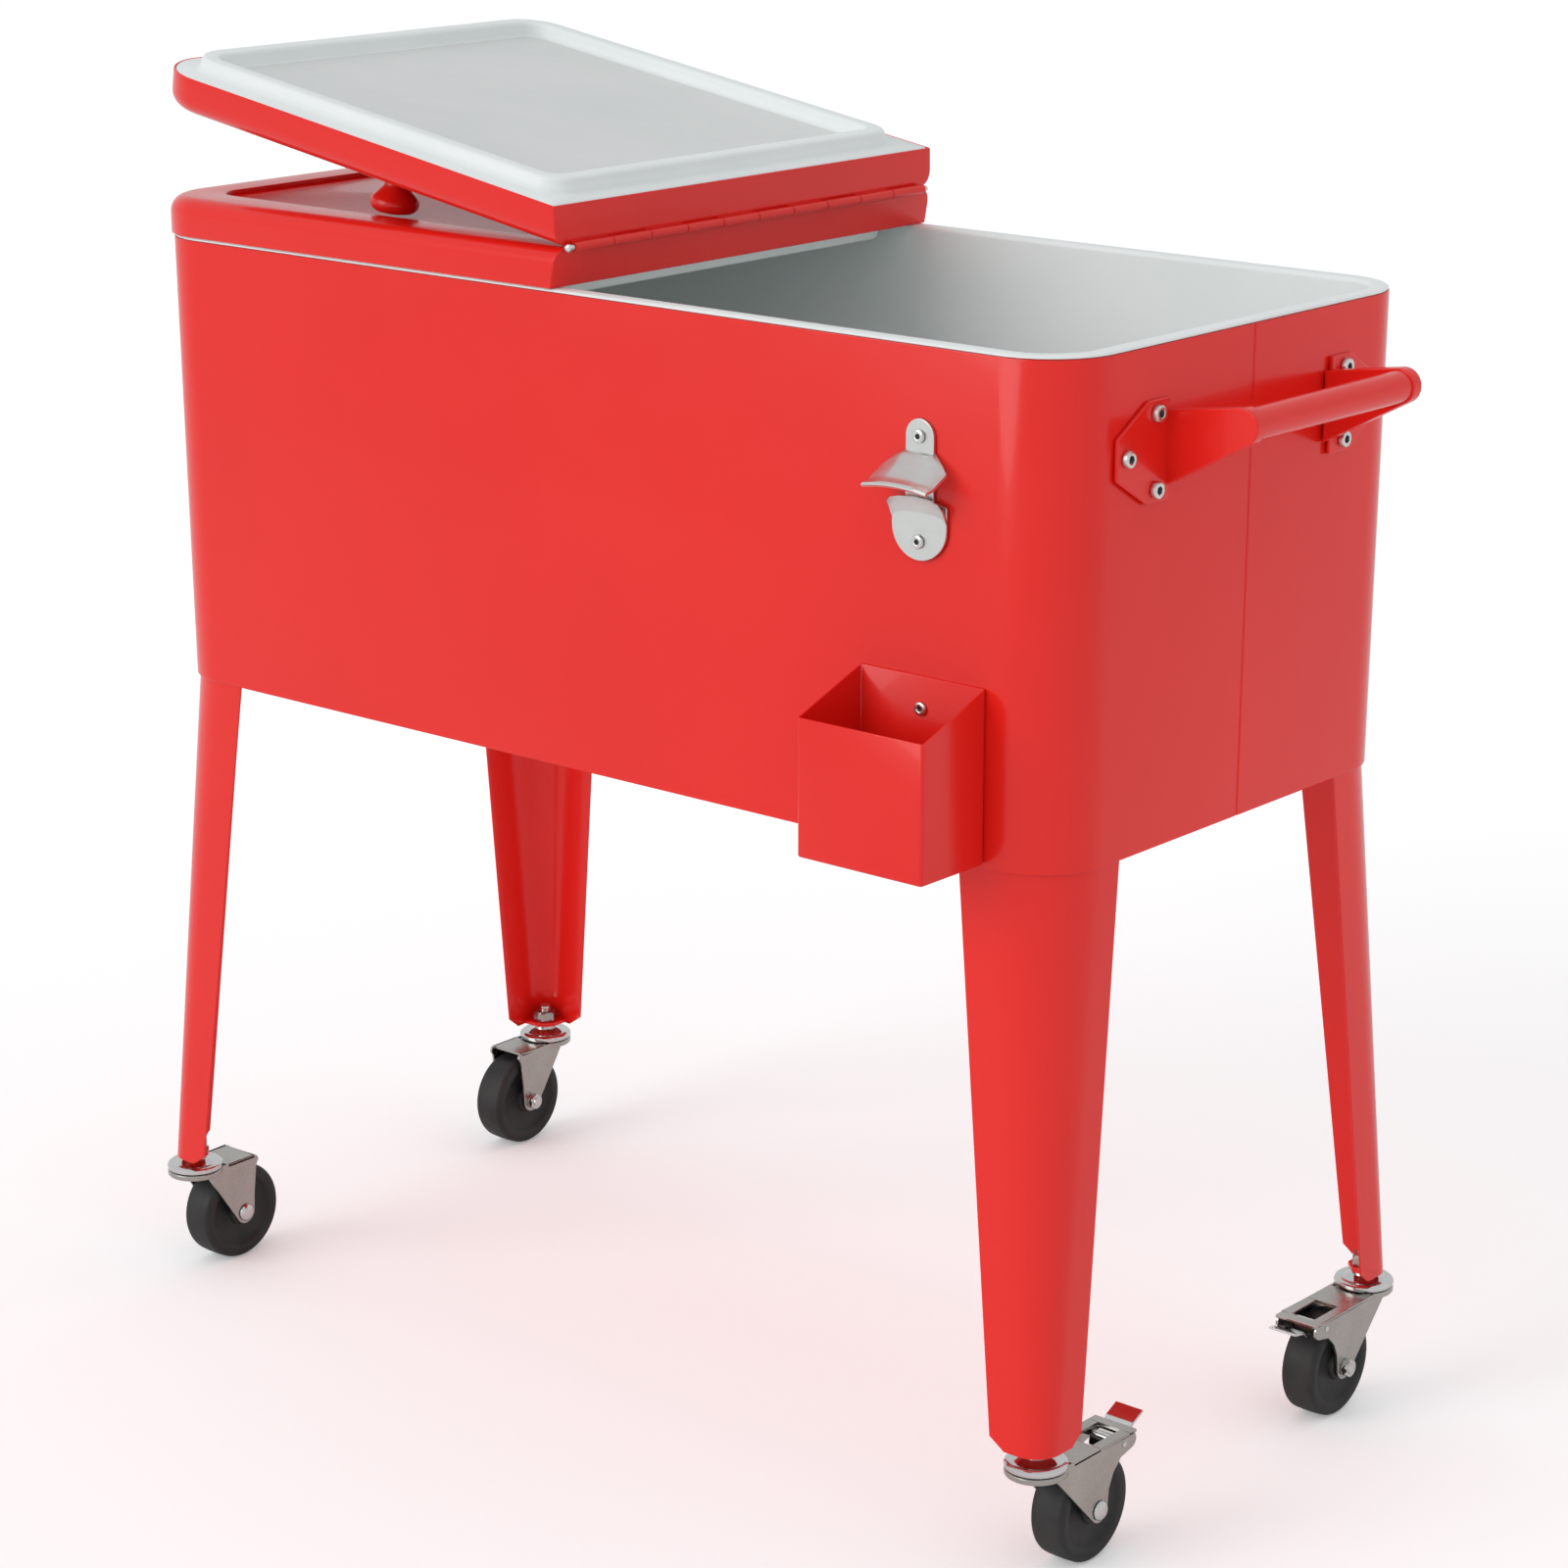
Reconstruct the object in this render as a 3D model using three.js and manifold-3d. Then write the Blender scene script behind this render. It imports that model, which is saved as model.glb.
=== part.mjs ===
// A rolling patio cooler chest: an insulated steel chest on four sheet legs with swivel casters,
// a two-piece folding lid, end handles, a bottle opener and a cap catcher.
// Millimetres, +Z up, +X along the chest, -Y is the front. The wheels stand on z = 0.
import * as THREE from "three";
import { mergeVertices } from "three/addons/utils/BufferGeometryUtils.js";
import Module from "manifold-3d";

const wasm = await Module();
wasm.setup();

// ---------------------------------------------------------------- driving dimensions
const gap = 0.3; // between pieces that touch
const slip = 0.5; // between pieces that move past each other or fill a hollow

const chest = { length: 818, width: 390, height: 325, flare: 2.5, corner: 50, sheet: 1.2 };
const wheel = { radius: 37.5, width: 27, hubRadius: 12, bore: 4.3, sides: 24 };
const axle = { radius: 4, headRadius: 7, headHeight: 3.4 };
const fork = {
  sheet: 2.2,
  endRadius: 9,
  headRadius: 21,
  headSkirt: 4.3,
  sideStart: -2, // where the side plates begin, measured from the swivel axis
  sideGap: 1.2,
  topGap: 4.3,
  overhang: 6,
  endDepth: 4, // of a plain fork's side plates at their back end
  brakeEndDepth: 11,
};
const stem = { radius: 5, raceRadius: 21.3, raceHeight: 7.7, neckRadius: 9, neckHeight: 2.6, flange: 3 };
const nut = { radius: 9.8, height: 8, threadAbove: 5 };
const plainTrail = 34.8;
const brakeTrail = 48;
const brakeReach = 88; // from the swivel axis to the end of a braked fork
const brakeWindow = { from: 48, to: 80, halfWidth: 9 };
const pedal = {
  pivotY: 74,
  pin: 2,
  press: 15, // degrees
  camRadius: 2.2,
  halfWidth: 11,
  thickness: 1.6,
  bend: 15.2,
  kneeUp: 6.5,
  tipOut: 29,
  tipUp: 12.5,
};

const leg = {
  sheet: 1.5,
  length: 383.3, // from the foot to the chest's lower edge
  tuck: 14,
  spreadX: 10.1,
  spreadY: 15.4,
  topX: 75.7,
  topY: 70.9,
  footX: 42.3,
  footY: 43.4,
  footCorner: 19.3,
  plate: 3,
  plateRise: 0.8, // the foot plate and the top tab sit this far inside the sheet's ends
  plateSide: 27,
  plateChamfer: 9,
  tabInset: 6,
};
const swivel = { fromCornerX: 15.1, fromCornerY: 15 };

const tub = { wall: 2.5, insetTop: 14, insetFloor: 25, floorHeight: 40, corner: 36, rimThickness: 2 };
const panelSheet = 1.2; // the chest's bottom panel
const drain = { x: -300, pipe: 9, bore: 7, flange: 20, below: 22, capRadius: 15, capHeight: 16 };

const lid = {
  overhang: 1.4,
  height: 26.9,
  edgeRadius: 12,
  sheet: 1.2,
  endGap: 8.5, // from the hinge axis to the foot of the inner end
  endGapTop: 2,
  leanTop: 3.5, // the inner end leans up to this far under the hinge axis
  pocketInset: 37,
  pocketDepth: 4,
  pocketCorner: 22,
  linerSheet: 2,
  ridgeInset: 18.5,
  ridgeWidth: 15,
  ridgeDepth: 10.5,
};
const hinge = { pin: 2, wall: 1.2, play: 0.25, headRadius: 2.9, headHeight: 3, slots: 10, slotLength: 37 };
const restTilt = 9.4; // degrees between the folded lid and the closed one
const knob = { fromHinge: 212, fromPocketSide: 22.9, capRadius: 17.5, neckRadius: 8.2, capHeight: 14 };

const handle = {
  armAt: 89,
  armWidth: 10,
  reach: 57.3,
  barRadius: 10.5,
  barWall: 1.6,
  barBelowRim: 45.1,
  armWall: 1.5, // of the arm around the bar's end
  plate: 3,
  plateBelowBar: 20,
  plateOuter: 146.3,
  plateInner: 91,
  plateHeight: 65,
  flatHeight: 26,
  rootHeight: 47.4,
  screwIn: 106,
  screwOut: 136.5,
  screwRise: 24,
};
const screw = { head: 5.5, headHeight: 4, shank: 2.5, length: 14, socket: 2.9 };
const smallScrew = { head: 4.6, headHeight: 2.2, shank: 2, length: 12, socket: 1.9 };

const opener = {
  x: 303.5,
  sheet: 2.5,
  top: 280.5, // above the chest's lower edge
  tabRadius: 11,
  plateRadius: 21.5,
  height: 89.5,
  shoulder: 53.5, // from the top of the tab down to the lower plate's full width
  hoodHalfWidth: 25.3,
  hoodReach: 29,
  hoodStart: 20.3, // from the top of the tab down to the hood's bend
  hoodDrop: 19.2,
  lip: 5,
  hoodFall: 0.61, // how far the hood drops beside the tab, for each millimetre across
  screwSpan: 66.3,
};
const catcher = {
  x: 305,
  width: 100,
  depth: 63,
  low: 3,
  frontHeight: 91,
  backHeight: 114,
  sheet: 1.2,
  screwHigh: 96,
  screwLow: 28,
};

// ---------------------------------------------------------------- levels worked out from them
const footZ = 2 * wheel.radius + fork.topGap + fork.sheet + gap + stem.raceHeight + stem.neckHeight;
const footPlateZ = footZ + leg.plateRise;
const chestZ = footZ + leg.length;
const rimZ = chestZ + chest.height;
const lidFootZ = rimZ + gap + tub.rimThickness + gap;
const hingeZ = lidFootZ + lid.height;
const panelZ = chestZ + leg.tuck + gap;
const tubFloorZ = chestZ + tub.floorHeight;
const halfX = chest.length / 2;
const halfY = chest.width / 2;
const lidHalfX = halfX + chest.flare + lid.overhang;
const lidHalfY = halfY + chest.flare + lid.overhang;
const handleZ = rimZ - handle.barBelowRim;

// How far the chest's outer wall stands out at a height, over its lower edge.
const flareAt = (z) => (chest.flare * (z - chestZ)) / chest.height;
const endFaceX = (z) => halfX + flareAt(z);
const frontFaceY = (z) => -halfY - flareAt(z);

// ---------------------------------------------------------------- materials
const paint = new THREE.MeshStandardMaterial({ color: 0xd22a24, roughness: 0.3, metalness: 0 });
const plastic = new THREE.MeshStandardMaterial({ color: 0xe9eeea, roughness: 0.45, metalness: 0 });
const foam = new THREE.MeshStandardMaterial({ color: 0xe8dfb8, roughness: 0.95, metalness: 0 });
const nickel = new THREE.MeshStandardMaterial({ color: 0xa39e96, roughness: 0.35, metalness: 1 });
const satin = new THREE.MeshStandardMaterial({ color: 0xcdcfca, roughness: 0.3, metalness: 1 });
const rubber = new THREE.MeshStandardMaterial({ color: 0x161616, roughness: 0.6, metalness: 0 });

// ---------------------------------------------------------------- solids and booleans
function toSolid(geometry) {
  const bare = geometry.index ? geometry.toNonIndexed() : geometry.clone();
  bare.deleteAttribute("normal");
  bare.deleteAttribute("uv");
  const merged = mergeVertices(bare, 1e-4);
  const triVerts = new Uint32Array(merged.index.array);
  const vertProperties = merged.attributes.position.array;
  return new wasm.Manifold(new wasm.Mesh({ numProp: 3, vertProperties, triVerts }));
}

function toGeometry(solid) {
  const { vertProperties, triVerts } = solid.getMesh();
  const geometry = new THREE.BufferGeometry();
  geometry.setAttribute("position", new THREE.BufferAttribute(vertProperties, 3));
  geometry.setIndex(new THREE.BufferAttribute(triVerts, 1));
  return geometry;
}

const join = (first, ...rest) => toGeometry(rest.reduce((s, g) => s.add(toSolid(g)), toSolid(first)));
const cut = (first, ...rest) => toGeometry(rest.reduce((s, g) => s.subtract(toSolid(g)), toSolid(first)));
const overlap = (first, second) => toGeometry(toSolid(first).intersect(toSolid(second)));

// ---------------------------------------------------------------- basic shapes
// A rectangle from x0 to x1 and from -y to y, with one radius at its x0 corners and one at its x1 corners.
function roundedOutline(x0, x1, y, r0, r1) {
  const shape = new THREE.Shape();
  shape.moveTo(x0 + r0, -y);
  shape.lineTo(x1 - r1, -y);
  shape.absarc(x1 - r1, -y + r1, r1, -Math.PI / 2, 0, false);
  shape.lineTo(x1, y - r1);
  shape.absarc(x1 - r1, y - r1, r1, 0, Math.PI / 2, false);
  shape.lineTo(x0 + r0, y);
  if (r0 > 0) shape.absarc(x0 + r0, y - r0, r0, Math.PI / 2, Math.PI, false);
  shape.lineTo(x0, -y + r0);
  if (r0 > 0) shape.absarc(x0 + r0, -y + r0, r0, Math.PI, 1.5 * Math.PI, false);
  return shape;
}

// A flat outline raised from z0 to z1.
function prism(shape, z0, z1, curveSegments = 3) {
  const geometry = new THREE.ExtrudeGeometry(shape, { depth: z1 - z0, bevelEnabled: false, curveSegments });
  return geometry.translate(0, 0, z0);
}

// An outline in the XZ plane, drawn out along Y from y0 to y1.
function prismAlongY(outline, y0, y1, curveSegments = 4) {
  const shape = outline instanceof THREE.Shape ? outline : new THREE.Shape(outline);
  const geometry = new THREE.ExtrudeGeometry(shape, { depth: y1 - y0, bevelEnabled: false, curveSegments });
  return geometry.rotateX(Math.PI / 2).translate(0, y1, 0);
}

// An outline in the YZ plane, drawn out along X from x0 to x1.
function prismAlongX(outline, x0, x1, curveSegments = 4) {
  const shape = outline instanceof THREE.Shape ? outline : new THREE.Shape(outline);
  const geometry = new THREE.ExtrudeGeometry(shape, { depth: x1 - x0, bevelEnabled: false, curveSegments });
  return geometry.rotateX(Math.PI / 2).rotateZ(Math.PI / 2).translate(x0, 0, 0);
}

const points = (...pairs) => pairs.map(([u, v]) => new THREE.Vector2(u, v));

function box(x0, x1, y0, y1, z0, z1) {
  const geometry = new THREE.BoxGeometry(x1 - x0, y1 - y0, z1 - z0);
  return geometry.translate((x0 + x1) / 2, (y0 + y1) / 2, (z0 + z1) / 2);
}

// A round bar along Z.
function rod(radius, z0, z1, sides = 12) {
  const geometry = new THREE.CylinderGeometry(radius, radius, z1 - z0, sides);
  return geometry.rotateX(Math.PI / 2).translate(0, 0, (z0 + z1) / 2);
}

const rodAlongX = (radius, x0, x1, sides) => rod(radius, x0, x1, sides).rotateY(Math.PI / 2);
const rodAlongY = (radius, y0, y1, sides) => rod(radius, y0, y1, sides).rotateZ(Math.PI).rotateX(-Math.PI / 2);

// A profile of (radius, z) pairs turned about Z, from the axis back to the axis or closed on itself.
function turned(profile, sides = 20) {
  return new THREE.LatheGeometry(profile, sides).rotateX(Math.PI / 2);
}

// Leans the four sides of an upright piece outwards like the chest's walls.
function flared(geometry) {
  const position = geometry.attributes.position;
  for (let i = 0; i < position.count; i += 1) {
    const lean = flareAt(position.getZ(i));
    position.setX(i, position.getX(i) + Math.sign(position.getX(i)) * lean);
    position.setY(i, position.getY(i) + Math.sign(position.getY(i)) * lean);
  }
  return geometry;
}

// An upright solid inside the chest's walls, inset from their outer face.
function chestPrism(inset, z0, z1) {
  const radius = Math.max(chest.corner - inset, 2);
  return flared(prism(roundedOutline(-halfX + inset, halfX - inset, halfY - inset, radius, radius), z0, z1));
}

const assembly = new THREE.Group();

function addMesh(parent, name, geometry, material) {
  const mesh = new THREE.Mesh(geometry, material);
  mesh.name = name;
  parent.add(mesh);
  return mesh;
}

// ---------------------------------------------------------------- screws
// A socket screw along Z: its head sits above z = 0 and its shank goes down.
function socketScrew(kind) {
  const body = join(
    rod(kind.head, 0, kind.headHeight, 12),
    rod(kind.shank, -kind.length, kind.headHeight / 2, 8),
  );
  return cut(body, rod(kind.socket, kind.headHeight * 0.35, kind.headHeight + 1, 6));
}

const frontScrew = (kind, x, y, z) => socketScrew(kind).rotateX(Math.PI / 2).translate(x, y, z);
const rightScrew = (kind, x, y, z) => socketScrew(kind).rotateY(Math.PI / 2).translate(x, y, z);

// The six screws of one handle, as places on the end wall.
const handleScrews = [-1, 1].flatMap((side) => [
  { y: side * handle.screwIn, rise: handle.screwRise },
  { y: side * handle.screwOut, rise: 0 },
  { y: side * handle.screwIn, rise: -handle.screwRise },
]);
const plateMiddleZ = handleZ - handle.plateBelowBar;
const plateBackX = endFaceX(plateMiddleZ + handle.plateHeight / 2) + gap;
const openerTopZ = chestZ + opener.top;
const openerBackY = frontFaceY(openerTopZ) - gap;
const openerScrewZs = [
  openerTopZ - opener.tabRadius,
  openerTopZ - opener.tabRadius - opener.screwSpan,
];
const catcherBackY = frontFaceY(chestZ + catcher.low + catcher.backHeight) - gap;
const catcherScrewZs = [chestZ + catcher.screwHigh, chestZ + catcher.screwLow];

// Round holes through the chest's skin for every screw.
function screwHoles() {
  const holes = handleScrews.map((place) => {
    const hole = rodAlongX(screw.shank + slip, -halfX - screw.length, halfX + screw.length, 8);
    return hole.translate(0, place.y, plateMiddleZ + place.rise);
  });
  const front = (x, z) => {
    const hole = rodAlongY(smallScrew.shank + slip, -halfY - smallScrew.length, -halfY + smallScrew.length, 8);
    return hole.translate(x, 0, z);
  };
  openerScrewZs.forEach((z) => holes.push(front(opener.x, z)));
  catcherScrewZs.forEach((z) => holes.push(front(catcher.x, z)));
  return holes;
}

// Hollows in the foam behind the skin, where the screws end.
function screwPockets() {
  const around = screw.head + 3;
  const deepX = screw.length + 1;
  const deepY = smallScrew.length + 1;
  const rise = handle.screwRise + around;
  const pockets = [-1, 1].flatMap((end) =>
    [-1, 1].map((side) => {
      const near = side * (handle.screwIn - around);
      const far = side * (handle.screwOut + around);
      const pocket = box(halfX - deepX, halfX + 9, Math.min(near, far), Math.max(near, far), -rise, rise);
      if (end < 0) pocket.translate(-2 * halfX + deepX - 9, 0, 0);
      return pocket.translate(0, 0, plateMiddleZ);
    }),
  );
  const front = (x, z0, z1) =>
    box(x - around, x + around, -halfY - 9, -halfY + deepY, Math.min(z0, z1) - around, Math.max(z0, z1) + around);
  pockets.push(front(opener.x, ...openerScrewZs), front(catcher.x, ...catcherScrewZs));
  return pockets;
}

// ---------------------------------------------------------------- chest
function bodyShell() {
  const skin = cut(chestPrism(0, chestZ, rimZ), chestPrism(chest.sheet, chestZ - 5, rimZ + 5));
  return cut(skin, ...screwHoles());
}

const drainHole = (radius) => rod(radius, chestZ - 40, tubFloorZ + 20, 12).translate(drain.x, 0, 0);

function bottomPanel() {
  const panel = chestPrism(chest.sheet + gap + 0.2, panelZ, panelZ + panelSheet);
  return cut(panel, drainHole(drain.pipe + gap));
}

// The hollow or the outside of the tub: its walls lean in from the rim to the floor.
function tubPrism(outward, z0, z1) {
  const inset = tub.insetTop - outward;
  const corner = tub.corner + outward;
  const shape = roundedOutline(-halfX + inset, halfX - inset, halfY - inset, corner, corner);
  const geometry = prism(shape, z0, z1);
  const position = geometry.attributes.position;
  const depth = rimZ - tubFloorZ;
  for (let i = 0; i < position.count; i += 1) {
    const lean = chest.flare - ((tub.insetFloor - tub.insetTop) * (rimZ - position.getZ(i))) / depth;
    position.setX(i, position.getX(i) + Math.sign(position.getX(i)) * lean);
    position.setY(i, position.getY(i) + Math.sign(position.getY(i)) * lean);
  }
  return geometry;
}

function tubLiner() {
  const rimLow = rimZ + gap;
  const basin = tubPrism(tub.wall, tubFloorZ - tub.wall, rimLow + 1);
  const rim = chestPrism(gap, rimLow, rimLow + tub.rimThickness);
  const walls = cut(join(basin, rim), tubPrism(0, tubFloorZ, rimLow + tub.rimThickness + 5));
  return cut(walls, drainHole(drain.pipe + gap));
}

function insulation() {
  const block = chestPrism(chest.sheet + slip, panelZ + panelSheet + slip, rimZ - slip);
  const hollow = tubPrism(tub.wall + slip, tubFloorZ - tub.wall - slip, rimZ + 5);
  return cut(block, hollow, drainHole(drain.pipe + gap), ...screwPockets());
}

const drainLowZ = chestZ - drain.below;

function drainFitting() {
  const top = tubFloorZ + gap;
  const pipe = join(
    rod(drain.flange, top, top + 2, 16),
    rod(drain.pipe, drainLowZ, top + 1, 12),
  );
  return cut(pipe, rod(drain.bore, drainLowZ - 5, top + 5, 12)).translate(drain.x, 0, 0);
}

function drainCap() {
  const low = drainLowZ - gap - 3;
  const cap = cut(
    rod(drain.capRadius, low, low + drain.capHeight, 12),
    rod(drain.pipe + slip, drainLowZ - gap, low + drain.capHeight + 5, 12),
  );
  return cap.translate(drain.x, 0, 0);
}

// ---------------------------------------------------------------- legs
// An angle section with a rounded outer corner at (0, 0); its two flanges run along +X and +Y.
function angleOutline(widthX, widthY, radius) {
  const steps = 6;
  const turn = (r) =>
    Array.from({ length: steps + 1 }, (_, i) => {
      const angle = -Math.PI / 2 - (i / steps) * (Math.PI / 2);
      return [radius + r * Math.cos(angle), radius + r * Math.sin(angle)];
    });
  const inner = turn(radius - leg.sheet).reverse();
  return [[widthX, 0], ...turn(radius), [0, widthY], [leg.sheet, widthY], ...inner, [widthX, leg.sheet]];
}

// One leg with its outer foot corner at (0, 0); the chest lies towards +X and +Y.
function legSolid() {
  const tuckIn = chest.sheet + slip + gap + 0.1;
  const low = angleOutline(leg.footX, leg.footY, leg.footCorner);
  const reach = chest.corner + 1;
  const high = angleOutline(leg.topX, leg.topY, reach);
  const offset = [leg.spreadX + tuckIn, leg.spreadY + tuckIn];
  const height = leg.length + leg.tuck;
  const angle = new THREE.ExtrudeGeometry(new THREE.Shape(points(...low)), {
    depth: height,
    bevelEnabled: false,
  });
  const position = angle.attributes.position;
  for (let i = 0; i < position.count; i += 1) {
    if (position.getZ(i) < height / 2) continue;
    const [x, y] = [position.getX(i), position.getY(i)];
    const k = low.findIndex(([u, v]) => Math.hypot(u - x, v - y) < 1e-3);
    position.setXY(i, high[k][0] + offset[0], high[k][1] + offset[1]);
  }
  const r = leg.footCorner;
  const side = leg.plateSide;
  const weld = leg.sheet / 2;
  const foot = new THREE.Shape();
  foot.moveTo(side, weld);
  foot.lineTo(side, side - leg.plateChamfer);
  foot.lineTo(side - leg.plateChamfer, side);
  foot.lineTo(weld, side);
  foot.lineTo(weld, r);
  foot.absarc(r, r, r - weld, Math.PI, 1.5 * Math.PI, false);
  const plate = prism(foot, leg.plateRise, leg.plateRise + leg.plate);
  const hole = rod(stem.radius + gap, -5, leg.plate + 5, 12).translate(swivel.fromCornerX, swivel.fromCornerY, 0);
  const [tx, ty] = offset;
  const tab = new THREE.Shape();
  tab.moveTo(tx + leg.topX - leg.tabInset, ty + weld);
  tab.lineTo(tx + weld, ty + leg.topY - leg.tabInset);
  tab.lineTo(tx + weld, ty + reach);
  tab.absarc(tx + reach, ty + reach, reach - weld, Math.PI, 1.5 * Math.PI, false);
  const bracket = prism(tab, height - leg.plateRise - leg.plate, height - leg.plateRise);
  return cut(join(angle, plate, bracket), hole);
}

// ---------------------------------------------------------------- casters
const raceLowZ = footZ - stem.neckHeight - stem.raceHeight;
const forkTopZ = raceLowZ - gap;
const forkPlateZ = forkTopZ - fork.sheet;
const sideX = wheel.width / 2 + fork.sideGap;

// The stud that holds a fork: thread, neck, bearing race and the riveted kingpin under the fork.
function casterStem() {
  const top = footPlateZ + leg.plate + gap + nut.height + nut.threadAbove;
  const neckLow = footZ - stem.neckHeight;
  const profile = points(
    [0, forkPlateZ - gap - stem.flange],
    [stem.radius + stem.flange, forkPlateZ - gap - stem.flange],
    [stem.radius + stem.flange, forkPlateZ - gap],
    [stem.radius, forkPlateZ - gap],
    [stem.radius, raceLowZ],
    [stem.raceRadius, raceLowZ],
    [stem.raceRadius, raceLowZ + 4],
    [stem.raceRadius - 4, neckLow],
    [stem.neckRadius, neckLow],
    [stem.neckRadius, footPlateZ - gap],
    [stem.radius, footPlateZ - gap],
    [stem.radius, top],
    [0, top],
  );
  return turned(profile, 18);
}

function stemNut() {
  const low = footPlateZ + leg.plate + gap;
  return cut(rod(nut.radius, low, low + nut.height, 6), rod(stem.radius + gap, low - 1, low + nut.height + 1, 12));
}

// One side plate of a fork: a triangle with a round end at the axle, trailing towards +Y.
// Its front edge runs from the head's skirt to the round end, which it touches as a tangent.
function forkSideOutline(trail, topEnd, endDepth) {
  const z = wheel.radius;
  const r = fork.endRadius;
  const edgeZ = forkTopZ - fork.headSkirt;
  const away = Math.hypot(fork.sideStart - trail, edgeZ - z);
  const tangent = Math.atan2(edgeZ - z, fork.sideStart - trail) + Math.acos(r / away);
  const backSlope = Math.atan2(forkTopZ - endDepth - z, topEnd - trail);
  const shape = new THREE.Shape();
  shape.moveTo(fork.sideStart, forkTopZ);
  shape.lineTo(fork.sideStart, edgeZ);
  shape.absarc(trail, z, r, tangent, 2 * Math.PI + Math.min(backSlope, 0.2) - 0.1, false);
  shape.lineTo(topEnd, forkTopZ - endDepth);
  shape.lineTo(topEnd, forkTopZ);
  return shape;
}

function forkSolid(trail, braked) {
  const topEnd = braked ? brakeReach : trail + fork.overhang + fork.endRadius;
  const endDepth = braked ? fork.brakeEndDepth : fork.endDepth;
  const wide = sideX + fork.sheet;
  const sides = [-1, 1].map((s) =>
    prismAlongX(forkSideOutline(trail, topEnd, endDepth), s > 0 ? sideX : -wide, s > 0 ? wide : -sideX, 3),
  );
  const cup = rod(fork.headRadius - fork.sheet, forkTopZ - fork.headSkirt - 5, forkPlateZ, 20);
  const head = cut(rod(fork.headRadius, forkTopZ - fork.headSkirt, forkTopZ, 20), cup);
  const top = box(-wide, wide, 0, topEnd, forkPlateZ, forkTopZ);
  const holes = [rod(stem.radius + gap, forkPlateZ - 5, forkTopZ + 5, 12)];
  holes.push(rodAlongX(axle.radius + gap, -wide - 5, wide + 5, 12).translate(0, trail, wheel.radius));
  if (braked) {
    const half = brakeWindow.halfWidth;
    holes.push(box(-half, half, brakeWindow.from, brakeWindow.to, forkPlateZ - 5, forkTopZ + 5));
    holes.push(rodAlongX(pedal.pin + gap, -wide - 5, wide + 5, 10).translate(0, pedal.pivotY, pedalZ));
  }
  return cut(join(head, top, ...sides), ...holes);
}

const pedalZ = forkPlateZ - 2 * pedal.pin;

// The brake lever, up: a cross pin, a cam that turns towards the tyre and a plate that runs out
// under the fork's end and bends up into a toe tab.
function brakePedal() {
  const wide = sideX + fork.sheet;
  const dy = brakeTrail - pedal.pivotY;
  const dz = wheel.radius - pedalZ;
  const toTyre = Math.hypot(dy, dz) - wheel.radius;
  const camAngle = Math.atan2(dz, dy) + THREE.MathUtils.degToRad(pedal.press);
  const camRadius = pedal.camRadius;
  const camReach = toTyre - slip - camRadius;
  const cam = new THREE.Shape();
  cam.absarc(camReach * Math.cos(camAngle), camReach * Math.sin(camAngle), camRadius, camAngle - 1.4, camAngle + 1.4);
  cam.absarc(0, 0, pedal.pin + 1.3, camAngle + 1.6, camAngle - 1.6 + 2 * Math.PI);
  const t = pedal.thickness;
  const top = 2 * pedal.pin - gap - slip;
  const lever = points(
    [-pedal.pin, top - t],
    [pedal.bend + t, top - t],
    [pedal.bend + 2 * t, pedal.kneeUp - t],
    [pedal.tipOut + t / 2, pedal.tipUp - t],
    [pedal.tipOut, pedal.tipUp],
    [pedal.bend + t, pedal.kneeUp],
    [pedal.bend, top],
    [-pedal.pin, top],
  );
  const half = pedal.halfWidth;
  const pin = rodAlongX(pedal.pin, -wide - 1, wide + 1, 10);
  const plate = prismAlongX(lever, -half, half);
  return join(pin, prismAlongX(cam, -half + 2, half - 2, 3), plate).translate(0, pedal.pivotY, pedalZ);
}

function wheelSolid() {
  const w = wheel.width / 2;
  const r = wheel.radius / Math.cos(Math.PI / wheel.sides);
  const half = [
    [wheel.bore, w],
    [wheel.hubRadius, w],
    [wheel.hubRadius + 1.5, w - 3.5],
    [r - 10, w - 3.5],
    [r - 8, w - 0.8],
    [r, w - 5],
  ];
  const mirrored = half.map(([radius, x]) => [radius, -x]).reverse();
  const profile = points(...half, ...mirrored, half[0]).reverse();
  const solid = turned(profile, wheel.sides);
  return solid.rotateZ(Math.PI / wheel.sides).rotateY(Math.PI / 2);
}

function axleSolid() {
  const end = sideX + fork.sheet + gap;
  const profile = points(
    [0, -end - 6],
    [axle.radius, -end - 6],
    [axle.radius, -end - 5],
    [axle.headRadius, -end - 5],
    [axle.headRadius, -end],
    [axle.radius, -end],
    [axle.radius, end],
    [axle.headRadius, end],
    [axle.headRadius - 2.5, end + axle.headHeight],
    [0, end + axle.headHeight],
  );
  return turned(profile, 12).rotateY(Math.PI / 2);
}

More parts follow.
